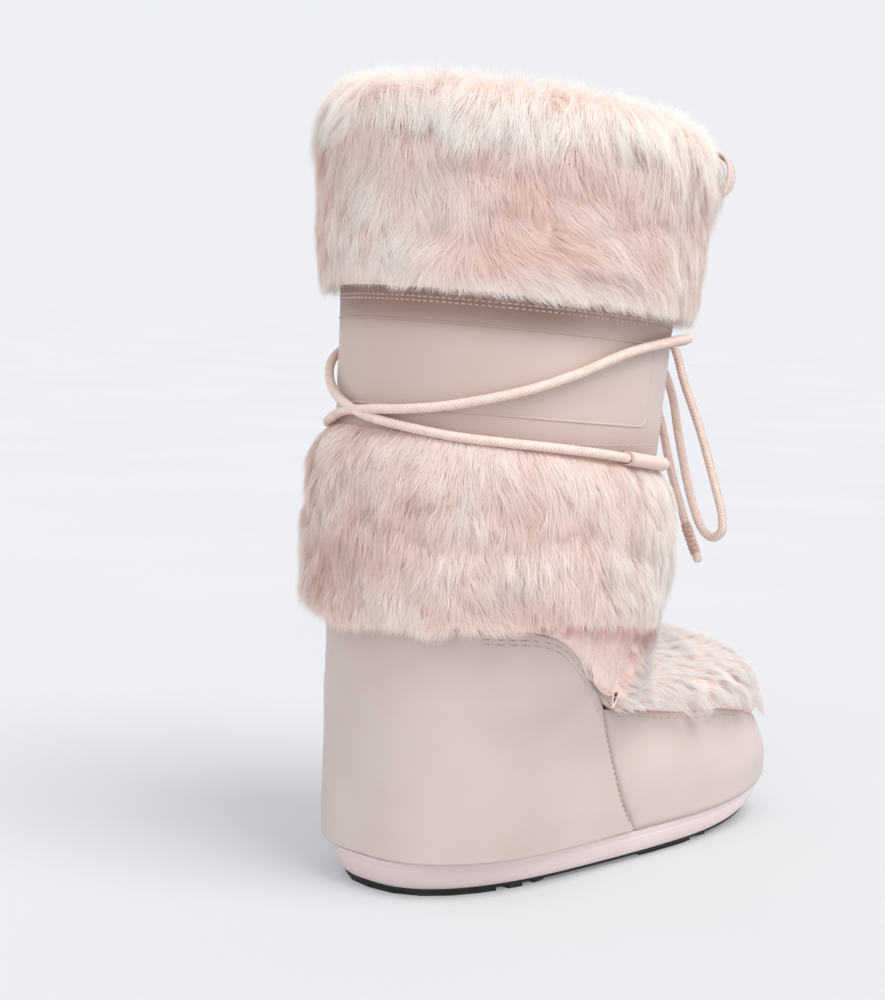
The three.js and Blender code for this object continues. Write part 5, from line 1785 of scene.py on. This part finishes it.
for w_ in (-1, 1):
    line_ = p_ + acrosses * w_ * 4.6
    outn = np.gradient(p_, axis=0)
    outn = np.cross(acrosses, outn / np.linalg.norm(outn, axis=1, keepdims=True))
    outn *= np.sign((outn * (p_ - p_.mean(0))).sum())
    edge_runs.append(stitches(line_, outn, 2.6, 1.8, 0.22, 0.05))
o = merged("pull_strap_stitches", edge_runs, mat_thread)
piece(o)

k_runs = []
for side, name in ((1, "right"), (-1, "left")):
    rows, crest = [], []
    inner_, wall_ = LACE / 2 + 0.3, 0.75
    steps_ = np.linspace(-61.5, -88.5, 20)
    for n_, bearing in enumerate(steps_):
        q = n_ / (len(steps_) - 1)
        z = float(np.interp(-bearing, -LACE_UNDER[:, 0], LACE_UNDER[:, 1]))
        c = lace_point(bearing, z)
        a_ = math.radians(bearing)
        o_ = np.array([math.cos(a_), math.sin(a_), 0])
        reach_ = c @ o_
        # rolled hems at both ends, a soft slack between
        hem = 0.18 * (math.exp(-(q / 0.06) ** 2) + math.exp(-((1 - q) / 0.06) ** 2))
        slack = 0.2 * math.sin(math.pi * q) + 0.12 * math.sin(9 * q + 1)
        big = inner_ + wall_ + hem
        prof = [(-2.6, big + 0.25), (-1.8, big + 0.2), (-0.9, big + 0.08)]
        for t in np.linspace(90, -90, 13):
            prof.append(((big + slack) * math.cos(math.radians(t)), big * math.sin(math.radians(t))))
        prof += [(-0.9, -big - 0.08), (-1.8, -big - 0.2), (-2.6, -big - 0.25)]
        inner_prof = [(-2.6, -inner_)] + [(inner_ * math.cos(math.radians(t)), inner_ * math.sin(math.radians(t)))
                                          for t in np.linspace(-90, 90, 9)] + [(-2.6, inner_)]
        ring = []
        for u_, w_ in prof + inner_prof:
            leg = leg_point(bearing, z + w_)
            clear = leg @ o_ + 0.5 - reach_
            uu_ = max(u_, clear) if u_ < 0 else u_
            pt = c + o_ * uu_
            pt[2] = z + w_
            ring.append(pt * (1, side, 1))
        rows.append(ring)
        crest.append(ring[3 + 2])
    v_, f_ = closed_grid(rows)
    # the inside of the tunnel is open at both ends
    f_ = [f_[0]]
    G_ = np.array(rows)
    m_, n2 = G_.shape[:2]
    np_, ni = 19, 11
    caps_ = []
    for row_ in (0, m_ - 1):
        b0 = row_ * n2
        for a1 in range(np_ - 1):
            i1 = np_ + ni - 1 - int(round(a1 * (ni - 1) / (np_ - 1)))
            i2 = np_ + ni - 1 - int(round((a1 + 1) * (ni - 1) / (np_ - 1)))
            tri = [b0 + a1, b0 + a1 + 1, b0 + i1]
            caps_.append(tri if row_ else tri[::-1])
            if i1 != i2:
                tri = [b0 + a1 + 1, b0 + i2, b0 + i1]
                caps_.append(tri if row_ else tri[::-1])
    caps_ = np.array(caps_)
    f_.append(caps_)
    kp = add_mesh("keeper_tunnel_" + name, v_[:-2], f_, mat_webbing)
    piece(kp, ["keeper_" + name])

sole_in = Form(-7.6)
r_ = sole_in.ring(21.0, 60)
ring_ = np.concatenate([r_, r_[1:-1][::-1] * (1, -1, 1)])
cx_ = (ring_[:, 0].min() + ring_[:, 0].max()) / 2
tilt_ = ring_[:, 2] - 21.0
rows = []
for f_k, z_ in ((0.0, 18.55), (0.7, 18.55), (0.985, 18.6), (1.0, 19.6), (1.0, 22.0), (0.99, 22.9), (0.965, 23.4), (0.9, 23.6),
                (0.75, 23.5), (0.5, 23.2), (0.25, 23.1), (0.0, 23.0)):
    q = ring_.copy()
    q[:, 1] *= f_k
    q[:, 0] = cx_ + (q[:, 0] - cx_) * (1 - (1 - f_k) * 0.45)
    q[:, 2] = z_ + np.clip(tilt_, -3, 3) * (0.0 if z_ < 19 else 1.0) + (0.25 * noise_a(q, 24.0) if z_ > 23 else 0)
    rows.append(q)
v_, f_ = closed_grid(rows)
cushion = add_mesh("insole_cushion", v_, f_, mat_lining)
piece(cushion, ["insole"])

# ---------------------------------------------------------------- carried-over nodes and the rest
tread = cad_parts["outsole"]
tread.data.materials.clear()
tread.data.materials.append(mat_tread)

# ---------------------------------------------------------------- floor and light
fme = bpy.data.meshes.new("floor")
S = 40.0
fme.from_pydata([(-S, -S, 0), (S, -S, 0), (S, S, 0), (-S, S, 0)], [], [(0, 1, 2, 3)])
floor = bpy.data.objects.new("floor", fme)
bpy.context.scene.collection.objects.link(floor)
fme.materials.append(mat_floor)

world = bpy.data.worlds.new("studio")
bpy.context.scene.world = world
world.use_nodes = True
world.node_tree.nodes["Background"].inputs["Color"].default_value = (*lin(238, 240, 244), 1)
world.node_tree.nodes["Background"].inputs["Strength"].default_value = 1.0


def sun(name, towards, strength, angle, colour):
    d = bpy.data.lights.new(name, "SUN")
    d.energy = strength
    d.angle = math.radians(angle)
    d.color = colour
    o = bpy.data.objects.new(name, d)
    bpy.context.scene.collection.objects.link(o)
    o.rotation_euler = Vector(towards).to_track_quat("-Z", "Y").to_euler()
    return o


# from above and to the camera's right
sun("key", (-0.05, 0.52, -0.85), 2.05, 40, (1.0, 0.972, 0.95))
sun("fill", (0.9, 0.42, -0.35), 0.62, 60, (1.0, 0.98, 0.965))
